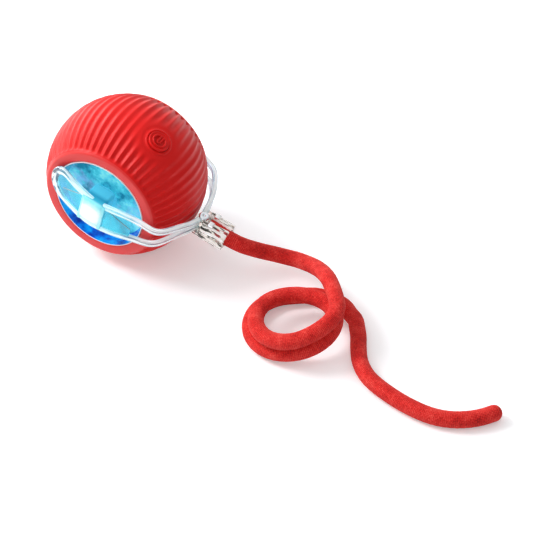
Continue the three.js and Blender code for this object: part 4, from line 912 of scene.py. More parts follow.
# Yoke: each half is two rails joined round its free end, a web between them, a hub block over the
# axle, and half of the knuckle and clamp. Shapes are made for the right half and mirrored.
def arm_line():
    at_hub = HUB_OUTER - HUB_PROUD - RAIL_THICKNESS / 2
    at_free_end = LIP_HEIGHT + RAIL_CLEARANCE + RAIL_THICKNESS / 2
    at_lip = at_free_end + ARM_RISE_AT_TAIL_SIDE

    def sag(end, height, lift):
        return (end / 2, mix(at_hub, height, ARM_SAG), lift * ARM_SAG)

    points = [
        (-ARM_FREE_SIDE, at_free_end, ARM_LIFT_AT_FREE_END),
        sag(-ARM_FREE_SIDE, at_free_end, ARM_LIFT_AT_FREE_END),
        (0, at_hub, 0), sag(ARM_TAIL_SIDE, at_lip, ARM_LIFT_AT_LIP),
        (ARM_TAIL_SIDE, at_lip, ARM_LIFT_AT_LIP),
    ]
    for along in np.linspace(0, 1, ARC_POINTS):
        angle = math.radians(mix(ARC_START_DEG, ARC_END_DEG, along))
        rise = mix(ARM_RISE_AT_BEND, ARM_RISE_AT_APEX, math.sin(math.pi / 2 * along))
        radius = BALL_RADIUS + RAIL_CLEARANCE + RAIL_THICKNESS / 2 + rise
        lift = ARM_LIFT * math.sin(math.pi * along) - TAIL_DROP * along
        lift = max(lift, ARM_LIFT_AT_LIP * (1 - along))
        points.append((radius * math.sin(angle), radius * math.cos(angle), lift))
    return softened(curve_through(points, ARM_STEP), ARM_STEP, ARM_EASE)


def rail_spread(length, x):
    if length < RAIL_SPREAD:
        return math.sqrt(max(RAIL_SPREAD ** 2 - (RAIL_SPREAD - length) ** 2, 0))
    start = ARM_TAIL_SIDE / 2
    along = min(max((x - start) / (KNUCKLE_START - start), 0), 1)
    return mix(RAIL_SPREAD, RAIL_SPREAD_AT_APEX, along ** RAIL_TAPER)


class Arm:
    """The arm's centre line with its lengths, and the way out of its sheet at each point."""

    def __init__(self):
        self.line = arm_line()
        self.lengths = line_lengths(self.line)
        along = np.gradient(self.line, axis=0)
        self.outs = unit(np.column_stack([-along[:, 1], along[:, 0], np.zeros(len(along))]))

    def at(self, length, beside=0.0, above=0.0):
        place = along_line(length, self.lengths, self.line)
        out = along_line(length, self.lengths, self.outs)
        return place + (0, 0, beside) + above * out, out

    def spread(self, length):
        return rail_spread(length, np.interp(length, self.lengths, self.line[:, 0]))

    def length_at(self, x):
        return self.lengths[np.argmax(self.line[:, 0] >= x)]


RAIL_STATIONS = 110
RAIL_TURN_STATIONS = 26
RAIL_ROUNDING = 0.5
RAIL_CORNER_STEPS = 7
RAIL_BROAD_REACH = (4.0, 8.0)
WEB_START = 0.6
WEB_STATIONS = 60
WEB_COLUMNS = 9


def rail_line(arm):
    """The rails' shared centre line, up one, round the free end and down the other."""
    lengths = np.linspace(RAIL_SPREAD, arm.lengths[-1], RAIL_STATIONS)
    turn = np.linspace(0, math.pi, RAIL_TURN_STATIONS)[1:-1]
    line, outs = zip(
        *[arm.at(length, arm.spread(length)) for length in lengths[::-1]],
        *[arm.at(RAIL_SPREAD * (1 - math.sin(a)), RAIL_SPREAD * math.cos(a)) for a in turn],
        *[arm.at(length, -arm.spread(length)) for length in lengths],
    )
    return np.array(line), np.array(outs)


def arm_rails(arm, material):
    line, outs = rail_line(arm)
    lengths = line_lengths(line)
    height = RAIL_THICKNESS / 2 - RAIL_SHRINK
    slim, broad = (
        carried(line, outs, rounded_section(width / 2, height, RAIL_ROUNDING, RAIL_CORNER_STEPS))
        for width in (RAIL_WIDTH - 2 * RAIL_SHRINK, RAIL_WIDTH_AT_FREE_END)
    )
    bend = 1 - smoothstep(np.abs(lengths - lengths[-1] / 2), *RAIL_BROAD_REACH)
    return ring_mesh("rails", mix(slim, broad, bend[:, None, None]), material, lengths=lengths)


def arm_web(arm, material):
    rings = []
    for length in np.linspace(WEB_START, arm.length_at(WEB_TAIL_END), WEB_STATIONS):
        across = np.linspace(arm.spread(length), -arm.spread(length), WEB_COLUMNS)
        rings.append([
            arm.at(length, beside, face * WEB_THICKNESS / 2)[0]
            for face in (1, -1) for beside in face * across
        ])
    return ring_mesh("web", rings, material)


def bead_tree():
    """A round bead swept along a path, as thick at each point as its mark says."""
    tree, given = geometry_tree("bead", {
        "Radius": "Float", "Sides": "Int", "Material": "Material",
    })
    path = node(tree, "GeometryNodeMeshToCurve", [given["Geometry"]])
    section = node(tree, "GeometryNodeCurvePrimitiveCircle", [given["Sides"], given["Radius"]])
    thickness = node(tree, "GeometryNodeInputNamedAttribute", ["thickness"], data_type="FLOAT")
    swept = node(tree, "GeometryNodeCurveToMesh", {
        "Curve": path, "Profile Curve": section, "Scale": thickness, "Fill Caps": True,
    })
    smooth = node(tree, "GeometryNodeSetShadeSmooth", [swept])
    node(tree, "NodeGroupOutput", {"Geometry": in_material(tree, smooth, given["Material"])})
    return tree


BEAD_TREE = bead_tree()
BEAD_SIDES = 16
BEAD_TIP = 0.02


def bead(name, line, radius, material, round_ends=False):
    """A fine raised line."""
    lengths = line_lengths(line)
    from_end = np.minimum(lengths, lengths[-1] - lengths)
    thickness = np.ones(len(line))
    if round_ends:
        thickness = np.sqrt(1 - (1 - np.clip(from_end / radius, BEAD_TIP, 1)) ** 2)
    mesh = bpy.data.meshes.new(name)
    mesh.from_pydata((line * MM).tolist(), [(i, i + 1) for i in range(len(line) - 1)], [])
    sizes = {"Radius": radius * MM, "Sides": BEAD_SIDES, "Material": material}
    return outward(grown(new_object(name, mesh), BEAD_TREE, sizes, {"thickness": thickness}))


# Beads on the web's face: where each starts and ends along the arm, and how far beside its middle
WEB_BEADS = {"free": ((-11.9, -5.6), (-0.9, 3.6)), "tail": ((5.6, 13.4), (4.0, -0.1))}
WEB_BEAD_RADIUS = 0.16
WEB_BEAD_RISE = 0.04
WEB_BEAD_POINTS = 40


def web_bead(arm, stretch, sides, material):
    """A bead on the web's face, where its thicker part ends."""
    start, end = (arm.length_at(x) for x in stretch)
    shares = np.linspace(0, 1, WEB_BEAD_POINTS)
    line = np.array([
        arm.at(length, mix(*sides, share), WEB_THICKNESS / 2 + WEB_BEAD_RISE)[0]
        for length, share in zip(np.linspace(start, end, WEB_BEAD_POINTS), shares)
    ])
    return bead("web_bead", line, WEB_BEAD_RADIUS, material)


HUB_ROUNDING = 0.9
FLANK_HALF = 0.55
FLANK_PROUD = 0.1
FLANK_DROP = 0.3
FLANK_ROUNDING = 0.3
POCKET_ROUNDING = 0.2
# A block or bar that cuts reaches this far past what it cuts
OVERRUN = 1


def arm_hub(material):
    """The block over the axle, with the rails' flanks on its sides and a pocket in its back."""
    half = HUB_LENGTH / 2
    hub = rounded_block(
        "hub", (-half, HUB_INNER, HUB_LOW), (half, HUB_OUTER, HUB_TOP), HUB_ROUNDING, None,
    )
    rail = HUB_OUTER - HUB_PROUD
    for side in (-1, 1):
        bar = rounded_block(
            "bar", (side * half - FLANK_HALF, rail - RAIL_THICKNESS, -RAIL_SPREAD),
            (side * half + FLANK_HALF, rail + FLANK_PROUD, HUB_TOP - FLANK_DROP),
            FLANK_ROUNDING, None,
        )
        combined(hub, bar, "UNION")
    pocket = rounded_block(
        "pocket", (-POCKET_HALF, HUB_INNER - OVERRUN, -POCKET_HALF),
        (POCKET_HALF, POCKET_END, POCKET_HALF), POCKET_ROUNDING, None,
    )
    combined(hub, pocket, "DIFFERENCE")
    in_one_material(hub, material)
    return hub


PIN_SIDES = 64
KNUCKLE_ROUNDING = 0.6
LUG_INSET = 0.1
LUG_CLEARANCE = 0.3
PIN_CLEARANCE = 0.25


def upright_turn(name, profile, material):
    """A profile of [radius, height] turned about the hinge pin's axis."""
    turn = full_turn(PIN_SIDES)
    rings = [
        np.column_stack([PIN_X + r * np.cos(turn), r * np.sin(turn), np.full(PIN_SIDES, z)])
        for r, z in profile
    ]
    return ring_mesh(name, rings, material)


def knuckle(lug_side, material):
    """The block where the rails end, with its half of the hinge that the pin goes through."""
    top = KNUCKLE_HEIGHT / 2
    body = rounded_block(
        "knuckle", (KNUCKLE_START, SLOT_HALF, -top),
        (KNUCKLE_END, SLOT_HALF + KNUCKLE_WIDTH, top), KNUCKLE_ROUNDING, None,
    )
    split = lug_side * LUG_GAP / 2
    for radius, start, end, operation in (
        (LUG_RADIUS, split, lug_side * (top - LUG_INSET), "UNION"),
        (LUG_RADIUS + LUG_CLEARANCE, split, -lug_side * (top + OVERRUN), "DIFFERENCE"),
        (PIN_RADIUS + PIN_CLEARANCE, -top - OVERRUN, top + OVERRUN, "DIFFERENCE"),
    ):
        profile = [(radius, height) for height in sorted((start, end))]
        combined(body, upright_turn("bar", profile, None), operation)
    in_one_material(body, material)
    creased(body, degrees=35)
    return body


CLAMP_COLUMNS = 110
CLAMP_CORNER_STEPS = 12
CLAMP_OUTLINE_STEP = 0.15
CLAMP_RIDGE_PITCH = 1.1
CLAMP_RIDGE_DEPTH = 0.16
CLAMP_RIDGE_FADE = (0.3, 0.9)


def clamp_outline(shrink, slot):
    """Outer side of the clamp's half section, from the slot over the top and round to the slot:
    its points, the way in at each, how far round it is, and its share of the ridges' depth."""
    width, height = CLAMP_HALF_WIDTH - shrink, CLAMP_HALF_HEIGHT - shrink
    radius = CLAMP_ROUNDING - shrink
    bend = np.radians(np.linspace(90, 0, CLAMP_CORNER_STEPS))
    corner = np.column_stack([
        width - radius + radius * np.cos(bend), height - radius + radius * np.sin(bend),
    ])
    drawn = np.array([(slot, height), *corner, *(corner[::-1] * (1, -1)), (slot, -height)])
    fine = resampled(drawn, CLAMP_OUTLINE_STEP)
    fine = fine[np.linspace(0, len(fine) - 1, CLAMP_COLUMNS).round().astype(int)]
    along = directions(fine)
    inward = np.column_stack([along[:, 1], -along[:, 0]])
    lengths = line_lengths(fine)
    bare, ridged = CLAMP_RIDGE_FADE
    share = smoothstep(lengths, bare, ridged)
    share = share * (1 - smoothstep(lengths, lengths[-1] - ridged, lengths[-1] - bare))
    return fine, inward, lengths, share


def clamp_ridge_tree():
    """Ridges along the clamp, side by side round it and sunk into its face as its marks say."""
    tree, given = geometry_tree("clamp_ridges", {
        "Pitch": "Float", "Depth": "Float", "Material": "Material",
    })
    around, inward, share = (
        node(tree, "GeometryNodeInputNamedAttribute", [mark], data_type=kind)
        for mark, kind in (("around", "FLOAT"), ("inward", "FLOAT_VECTOR"), ("share", "FLOAT"))
    )
    turned = node(tree, "Math", [around, given["Pitch"]], operation="DIVIDE")
    turned = node(tree, "Math", [turned, 2 * math.pi], operation="MULTIPLY")
    wave = node(tree, "Math", [turned], operation="COSINE")
    wave = node(tree, "Math", [wave, -0.5, 0.5], operation="MULTIPLY_ADD")
    sunk = node(tree, "Math", [wave, given["Depth"]], operation="MULTIPLY")
    sunk = node(tree, "Math", [sunk, share], operation="MULTIPLY")
    ridged = node(tree, "GeometryNodeSetPosition", {
        "Geometry": given["Geometry"],
        "Offset": node(tree, "VectorMath", [inward, sunk], operation="SCALE"),
    })
    node(tree, "NodeGroupOutput", {"Geometry": in_material(tree, ridged, given["Material"])})
    return tree


CLAMP_RIDGE_TREE = clamp_ridge_tree()


CLAMP_OVERLAP = 0.9
CLAMP_START_ROUNDING = 0.35
CLAMP_END_ROUNDING = 0.3
CLAMP_EDGE_STEPS = 4
CLAMP_PLAIN_ENDS = (0.6, 0.45)
CLAMP_BORE_STEP = 0.02
CLAMP_BORE_LEAD = 0.3
CLAMP_STATIONS = 36
CLAMP_BORE_COLUMNS = 41
CLAMP_SLOT_REACH = 2.6
CLAMP_TOOTH_REACH = 0.3
RIDGE_START = 0.8
RIDGE_END = (1.5, 1.1)
LATCH_ROUNDING = 0.3


def clamp_half(material):
    """Half of the clamp: a ridged shell with a slot, its bore toothed where it bites the cord."""
    low = KNUCKLE_END - CLAMP_OVERLAP
    first, last = low + CLAMP_PLAIN_ENDS[0], CLAMP_END - CLAMP_PLAIN_ENDS[1]
    body = np.unique(np.r_[
        np.linspace(first, CLAMP_BORE_START, CLAMP_EDGE_STEPS),
        CLAMP_BORE_START + CLAMP_BORE_STEP,
        np.linspace(CLAMP_BORE_START + CLAMP_BORE_LEAD, last, CLAMP_STATIONS),
    ])
    front, back = (
        eased(edge, CLAMP_EDGE_STEPS) for edge in (CLAMP_START_ROUNDING, CLAMP_END_ROUNDING)
    )
    stations = [(low + inset, shrink) for inset, shrink in front]
    stations += [(x, 0) for x in body]
    stations += [(CLAMP_END - inset, shrink) for inset, shrink in reversed(back)]
    rings, arounds, inwards, shares = [], [], [], []
    for x, shrink in stations:
        slot = np.interp(
            x, [KNUCKLE_START, KNUCKLE_END, LATCH_X, CLAMP_END],
            [SLOT_HALF, SLOT_HALF + SLOT_FLARE, SLOT_HALF + SLOT_FLARE / 2, SLOT_HALF],
        )
        outer, inward, lengths, share = clamp_outline(shrink, slot)
        if x <= CLAMP_BORE_START:
            inner = np.column_stack([
                np.full(CLAMP_BORE_COLUMNS, slot + 0.01),
                np.linspace(-CLAMP_SLOT_REACH, CLAMP_SLOT_REACH, CLAMP_BORE_COLUMNS),
            ])
        else:
            grip = max(math.exp(-((x - tooth) / CLAMP_TOOTH_REACH) ** 2) for tooth in CLAMP_TEETH)
            radius = CLAMP_BORE_RADIUS - CLAMP_TOOTH_HEIGHT * grip
            start = math.acos(slot / radius)
            angles = np.linspace(-start, start, CLAMP_BORE_COLUMNS)
            inner = np.column_stack([radius * np.cos(angles), radius * np.sin(angles)])
        rings.append([(x, y, z) for y, z in np.vstack([outer, inner])])
        # The ridges fade out at both ends of the clamp, and its bore has none
        kept = smoothstep(x, KNUCKLE_END, KNUCKLE_END + RIDGE_START)
        kept *= 1 - smoothstep(x, CLAMP_END - RIDGE_END[0], CLAMP_END - RIDGE_END[1])
        plain = np.zeros(len(inner))
        arounds.append(np.r_[lengths * MM, plain])
        inwards.append(np.pad(inward, ((0, len(inner)), (1, 0))))
        shares.append(np.r_[share * kept, plain])
    piece = ring_mesh("clamp", rings, material, lengths=[x for x, _ in stations])
    grown(piece, CLAMP_RIDGE_TREE, {
        "Pitch": CLAMP_RIDGE_PITCH * MM, "Depth": CLAMP_RIDGE_DEPTH * MM, "Material": material,
    }, {"around": np.ravel(arounds), "inward": np.vstack(inwards), "share": np.ravel(shares)})
    creased(piece, degrees=50)
    return piece


def clamp_latch(material):
    half, low = LATCH_SIDE / 2, SLOT_HALF + SLOT_FLARE / 2
    return rounded_block(
        "latch", (LATCH_X - half, low, CLAMP_HALF_HEIGHT - LATCH_HEIGHT),
        (LATCH_X + half, low + LATCH_SIDE, CLAMP_HALF_HEIGHT + LATCH_HEIGHT),
        LATCH_ROUNDING, material,
    )


def on_yoke(piece, name, side, node_name, drop=0.0):
    """Mirrors a piece to its side, turns it down with the yoke and lifts it to the axle."""
    piece.name = piece.data.name = name
    place = (
        Matrix.Translation((0, 0, CENTRE_HEIGHT * MM)) @ Matrix.Rotation(TAIL_PITCH, 4, "Y")
        @ Matrix.Diagonal((1, side, 1, 1)) @ Matrix.Translation((0, 0, -drop * MM))
    )
    piece.data.transform(place)
    if side < 0:
        piece.data.flip_normals()
    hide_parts(node_name)
    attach(piece, "yoke")


def add_yoke(side, word, finishes):
    arm = Arm()

    def fitted(piece, name, drop=0.0):
        on_yoke(piece, name + "_" + word, side, "yoke_" + word, drop)

    fitted(arm_rails(arm, finishes["rails"]), "rails")
    fitted(arm_web(arm, finishes["web"]), "web")
    for end, (stretch, sides) in WEB_BEADS.items():
        fitted(web_bead(arm, stretch, sides, finishes["bead"]), "web_bead_" + end)
    fitted(arm_hub(finishes["hub"]), "hub")
    fitted(knuckle(-side, finishes["clamp"]), "knuckle", TAIL_DROP)
    fitted(clamp_half(finishes["clamp"]), "clamp_half", TAIL_DROP)
    fitted(clamp_latch(finishes["latch"]), "latch", TAIL_DROP)


def add_pin(material):
    """The hinge pin, with a rounded and dimpled head at each end."""
    half = KNUCKLE_HEIGHT / 2 + LUG_CLEARANCE
    head, top = PIN_HEAD_RADIUS, half + PIN_HEAD_HEIGHT
    upper = [
        (PIN_RADIUS, 0.0), (PIN_RADIUS, half), (head - 0.15, half), (head, half + 0.12),
        (head, top - 0.3), (head - 0.1, top - 0.1), (head - 0.35, top), (0.45, top),
        (0.3, top - 0.12), (0.04, top - 0.15),
    ]
    pin = upright_turn("pin", [(r, -z) for r, z in reversed(upper)] + upper[1:], material)
    creased(pin, degrees=40)
    on_yoke(pin, "hinge_pin", 1, "clamp_pin", TAIL_DROP)


# Sleeve: ribbed from lip to lip, with smooth rims and a well for the button. The ribs are deeper
# at the lips than the solid's.
RIB_COUNT = 56
RIB_DEPTH_AT_LIP = 0.72
RIB_DEPTH_AT_MIDDLE = 0.28
RIB_FADE = (1.9, 0.7)
GROOVE_BREADTH = 0.8
# A face whose mark is below this belongs to the smooth rims
RIM_BELOW = 0.75
SLEEVE_COLUMNS = RIB_COUNT * 10
SLEEVE_ROWS = 84
SLEEVE_INSIDE_ROWS = 24
LIP_ROUNDING = 0.45
SHOULDER_ROUNDING = 0.5
BUTTON_AXIS = np.array([math.cos(BUTTON_DIRECTION), 0.0, math.sin(BUTTON_DIRECTION)])
BALL_CENTRE = np.array([0.0, 0.0, CENTRE_HEIGHT])
# Round the button the ribs fade out, and a shallow moat sets it off
BARE_RADIUS = 5.2
RIBBED_RADIUS = 10.5
MOAT_RADIUS = 5.1
MOAT_WIDTH = 0.5
MOAT_DEPTH = 0.14


def rounded_corner(corner, start, end, count=5):
    """Points of a quadratic bend from start to end about a corner."""
    share = np.linspace(0, 1, count)[:, None]
    corner, start, end = (np.asarray(p, float) for p in (corner, start, end))
    return (1 - share) ** 2 * start + 2 * share * (1 - share) * corner + share ** 2 * end


def arc(radius, start, end, count):
    """[radius, height] of points on a circle about the ball's middle, between two angles."""
    return [(radius * math.cos(a), radius * math.sin(a)) for a in np.linspace(start, end, count)]


def turned_about_axle(profile, sides):
    """Points of a profile of [radius, height] turned about the ball's axle."""
    turn = full_turn(sides)
    return np.array([
        (radius * s, height, CENTRE_HEIGHT - radius * c)
        for radius, height in profile
        for s, c in zip(np.sin(turn), np.cos(turn))
    ])


def sleeve_profile():
    """[radius, height] round the sleeve's wall from inner lip to inner lip, and 1 where ribbed."""
    lip_radius = math.sqrt(BALL_RADIUS ** 2 - LIP_HEIGHT ** 2)
    start = math.asin((LIP_HEIGHT - SHOULDER_ROUNDING) / BALL_RADIUS)
    sphere = arc(BALL_RADIUS, start, -start, SLEEVE_ROWS)
    shoulder = rounded_corner(
        (lip_radius, LIP_HEIGHT), (lip_radius - SHOULDER_ROUNDING, LIP_HEIGHT), sphere[0], 6,
    )
    upper = [
        *rounded_corner(
            (LIP_SEEN_RADIUS, LIP_HEIGHT), (LIP_SEEN_RADIUS, LIP_HEIGHT - LIP_ROUNDING),
            (LIP_SEEN_RADIUS + LIP_ROUNDING, LIP_HEIGHT),
        ),
        ((LIP_SEEN_RADIUS + lip_radius) / 2, LIP_HEIGHT), *shoulder[:-1],
    ]
    lower = [(r, -y) for r, y in reversed(upper)]
    inner_edge = LIP_HEIGHT - LIP_WALL
    inner_start = math.asin(inner_edge / SLEEVE_INNER_RADIUS)
    inside = arc(SLEEVE_INNER_RADIUS, -inner_start, inner_start, SLEEVE_INSIDE_ROWS)
    rows = [
        *upper, *sphere, *lower, (LIP_SEEN_RADIUS, -inner_edge), *inside,
        (LIP_SEEN_RADIUS, inner_edge),
    ]
    ribbed = np.zeros(len(rows))
    ribbed[len(upper):len(upper) + len(sphere)] = 1
    return np.array(rows, float), ribbed


def rib_tree():
    """Grooves from rim to rim, shallow at the middle, with a moat and no ribs round the button."""
    tree, given = geometry_tree("ribs", {
        "Centre": "Vector", "Button": "Vector", "Rib Count": "Int",
        **dict.fromkeys((
            "Depth at Rims", "Depth at Middle", "Rim Height", "Fade Start", "Fade End",
            "Bare Radius", "Ribbed Radius", "Moat Radius", "Moat Width", "Moat Depth", "Floor",
        ), "Float"),
        "Material": "Material", "Rim Material": "Material",
    })
    ribbed = node(tree, "GeometryNodeInputNamedAttribute", ["ribbed"], data_type="FLOAT")
    place = node(tree, "GeometryNodeInputPosition")
    local = node(tree, "VectorMath", [place, given["Centre"]], operation="SUBTRACT")
    parts = node(tree, "SeparateXYZ", [local]).outputs
    # How deep the grooves are, from the middle to the rims, and where they fade out
    beside = node(tree, "Math", [parts["Y"]], operation="ABSOLUTE")
    depth = node(tree, "MapRange", [
        beside, 0.0, given["Rim Height"], given["Depth at Middle"], given["Depth at Rims"],
    ])
    kept = node(tree, "MapRange", [
        beside, given["Fade Start"], given["Fade End"], 1.0, 0.0,
    ], interpolation_type="SMOOTHSTEP")
    reach = node(tree, "VectorMath", [local, given["Button"]], operation="DISTANCE")
    clear = node(tree, "MapRange", [
        reach, given["Bare Radius"], given["Ribbed Radius"], 0.0, 1.0,
    ], interpolation_type="SMOOTHSTEP")
    # A wave round the ball's axis, with broad ribs between narrow grooves
    down = node(tree, "Math", [parts["Z"], -1.0], operation="MULTIPLY")
    angle = node(tree, "Math", [parts["X"], down], operation="ARCTAN2")
    wave = node(tree, "Math", [angle, given["Rib Count"]], operation="MULTIPLY")
    wave = node(tree, "Math", [wave], operation="COSINE")
    wave = node(tree, "Math", [wave, -0.5, 0.5], operation="MULTIPLY_ADD")
    groove = node(tree, "Math", [wave, GROOVE_BREADTH], operation="POWER")
    for share in (depth, clear, kept):
        groove = node(tree, "Math", [groove, share], operation="MULTIPLY")
    # The moat round the button is a bell curve of the distance from it
    bell = node(tree, "Math", [reach, given["Moat Radius"]], operation="SUBTRACT")
    bell = node(tree, "Math", [bell, given["Moat Width"]], operation="DIVIDE")
    bell = node(tree, "Math", [bell, bell], operation="MULTIPLY")
    bell = node(tree, "Math", [bell, -1.0], operation="MULTIPLY")
    bell = node(tree, "Math", [bell], operation="EXPONENT")
    relief = node(tree, "Math", [bell, given["Moat Depth"], groove], operation="MULTIPLY_ADD")
    relief = node(tree, "Math", [relief, ribbed], operation="MULTIPLY")
    outward_way = node(tree, "VectorMath", [local], operation="NORMALIZE")
    inward = node(tree, "VectorMath", [outward_way, relief], operation="SCALE")
    moved = node(tree, "VectorMath", [place, inward], operation="SUBTRACT")
    moved = node(tree, "SeparateXYZ", [moved]).outputs
    # The soft rubber flattens where it rests on the floor
    resting = node(tree, "Math", [moved["Z"], given["Floor"]], operation="MAXIMUM")
    shaped = node(tree, "GeometryNodeSetPosition", {
        "Geometry": given["Geometry"],
        "Position": node(tree, "CombineXYZ", [moved["X"], moved["Y"], resting]),
    })
    dressed = in_material(tree, shaped, given["Material"])
    on_rim = node(tree, "Math", [ribbed, RIM_BELOW], operation="LESS_THAN")
    finished = node(tree, "GeometryNodeSetMaterial", [dressed, on_rim, given["Rim Material"]])
    node(tree, "NodeGroupOutput", {"Geometry": finished})
    return tree


def add_sleeve(material, rim_material):
    profile, ribbed = sleeve_profile()
    faces = ring_faces(len(profile), SLEEVE_COLUMNS, closed_rows=True)
    sleeve = mesh_object(
        "ribbed_sleeve", turned_about_axle(profile, SLEEVE_COLUMNS),
        [tuple(reversed(face)) for face in faces], material,
    )
    grown(sleeve, rib_tree(), {
        "Centre": tuple(BALL_CENTRE * MM), "Rib Count": RIB_COUNT,
        "Depth at Rims": RIB_DEPTH_AT_LIP * MM, "Depth at Middle": RIB_DEPTH_AT_MIDDLE * MM,
        "Rim Height": LIP_HEIGHT * MM,
        "Fade Start": (LIP_HEIGHT - RIB_FADE[0]) * MM, "Fade End": (LIP_HEIGHT - RIB_FADE[1]) * MM,
        "Button": tuple((BALL_RADIUS * BUTTON_AXIS + np.array([0, BUTTON_OFFSET, 0])) * MM),
        "Bare Radius": BARE_RADIUS * MM, "Ribbed Radius": RIBBED_RADIUS * MM,
        "Moat Radius": MOAT_RADIUS * MM, "Moat Width": MOAT_WIDTH * MM,
        "Moat Depth": MOAT_DEPTH * MM, "Floor": RESTING_HEIGHT * MM,
        "Material": material, "Rim Material": rim_material,
    }, {"ribbed": np.repeat(ribbed, SLEEVE_COLUMNS)})
    well = [(BUTTON_RADIUS + BUTTON_GAP, WELL_BOTTOM), (BUTTON_RADIUS + BUTTON_GAP, WELL_TOP)]
    combined(sleeve, button_turn("bore", well, None), "DIFFERENCE")
    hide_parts("silicone_sleeve")
    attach(sleeve, "ball")


# Button: a pad in a well, with a raised symbol on its face and a soft rim round it
WELL_BOTTOM = 22.0
WELL_TOP = BALL_RADIUS + 3
BUTTON_SIDES = 96
PAD_PROUD = 0.25
PAD_THICKNESS = 1.35
SYMBOL_SUNK = 0.17
SYMBOL_STEP = 0.06
RING_POINTS = 120
BAR_LOOP_POINTS = 24
SYMBOL_RADIUS = 2.15
SYMBOL_GAP_DEG = 34
SYMBOL_WIDTH = 0.56
BAR_WIDTH = 0.44
BAR_LOOP_HALF = 0.52
BAR_START = -0.4
BAR_END = 2.3
SURROUND_SIDES = 120
# How far out from the pad's edge the soft rim is, and how far off the ball's curve
SURROUND_SECTION = (
    (0.12, -1.2), (0.12, -0.35), (0.16, -0.12), (0.28, 0.08), (0.45, 0.17), (0.65, 0.16),
    (0.85, 0.05), (1.05, -0.1), (1.2, -0.3), (1.2, -1.2),
)


def on_button(points):
    """Places on the button from [along the ball's axis, across it, distance from that axis]."""
    across = np.array([-BUTTON_AXIS[2], 0.0, BUTTON_AXIS[0]])
    middle = BALL_CENTRE + np.array([0, BUTTON_OFFSET, 0])
    along, beside, distance = np.asarray(points, float).T
    return (
        middle + distance[:, None] * BUTTON_AXIS + along[:, None] * np.array([0, 1.0, 0])
        + beside[:, None] * across
    )


def button_turn(name, profile, material):
    """A profile of [radius, distance from the ball's axis] turned about the button's axis."""
    turn = full_turn(BUTTON_SIDES)
    return ring_mesh(name, [
        on_button([(radius * c, radius * s, distance) for c, s in zip(np.cos(turn), np.sin(turn))])
        for radius, distance in profile
    ], material)


def raised_line(name, path, width, material):
    """A rounded ridge along a path drawn on the button's face."""
    line = resampled(on_button(path), SYMBOL_STEP)
    return bead(name, line, width / 2, material, round_ends=True)


def add_button(material):
    """The pad, with a ring that is open on one side and a bar in its gap, as on many switches."""
    top = BALL_RADIUS + PAD_PROUD
    back = top - PAD_THICKNESS
    profile = [
        (0.05, back), (BUTTON_RADIUS - 0.1, back), (BUTTON_RADIUS, back + 0.1),
        (BUTTON_RADIUS, top - 0.5), (3.44, top - 0.3), (3.3, top - 0.2), (3.15, top - 0.2),
        (3.0, top - 0.26), (2.7, top - 0.32), (2.3, top - 0.34), (1.95, top - 0.5),
        (1.8, top - 0.72), (1.6, top - 0.8), (0.05, top - 0.8),
    ]
    face, half = top - SYMBOL_SUNK, BAR_LOOP_HALF
    angles = np.radians(np.linspace(SYMBOL_GAP_DEG, 360 - SYMBOL_GAP_DEG, RING_POINTS))
    bend = np.radians(np.linspace(90, 270, BAR_LOOP_POINTS))
    ring = [(SYMBOL_RADIUS * math.cos(a), SYMBOL_RADIUS * math.sin(a), face) for a in angles]
    bar = [
        (BAR_END, half, face),
        *[(BAR_START + half * math.cos(a), half * math.sin(a), face) for a in bend],
        (BAR_END, -half, face),
    ]
    for piece in (
        button_turn("button_pad", profile, material),
        raised_line("button_ring", ring, SYMBOL_WIDTH, material),
        raised_line("button_bar", bar, BAR_WIDTH, material),
    ):
        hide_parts("power_button")
        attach(piece, "button")


def add_button_surround(material):
    """A soft raised rim round the button's well, on the ball's curve."""
    rings = []
    for angle in full_turn(SURROUND_SIDES):
        ring = []
        for out, height in SURROUND_SECTION:
            radius, reach = BUTTON_RADIUS + out, BALL_RADIUS + height
            along, beside = radius * math.cos(angle), radius * math.sin(angle)
            distance = math.sqrt(reach ** 2 - (along + BUTTON_OFFSET) ** 2 - beside ** 2)
            ring.append((along, beside, distance))
        rings.append(on_button(ring))
    faces = ring_faces(SURROUND_SIDES, len(SURROUND_SECTION), closed_rows=True)
    surround = mesh_object("button_surround", np.vstack(rings), faces, material)
    outward(surround)
    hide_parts("silicone_sleeve")
    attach(surround, "ball")


# Shell: each half is turned from the CAD's profile, finely, with soft corners at the rim. Its
# zones are the clear wall, the polished rim, and the lit side and end walls of the recess.
CLEAR, RIM, SIDE, END = range(4)
SHELL_ARC_ROWS = 24
SHELL_END_ROWS = 12
SHELL_SIDES = 192
RIM_ROUNDING = 0.1
RECESS_ROUNDING = 0.9


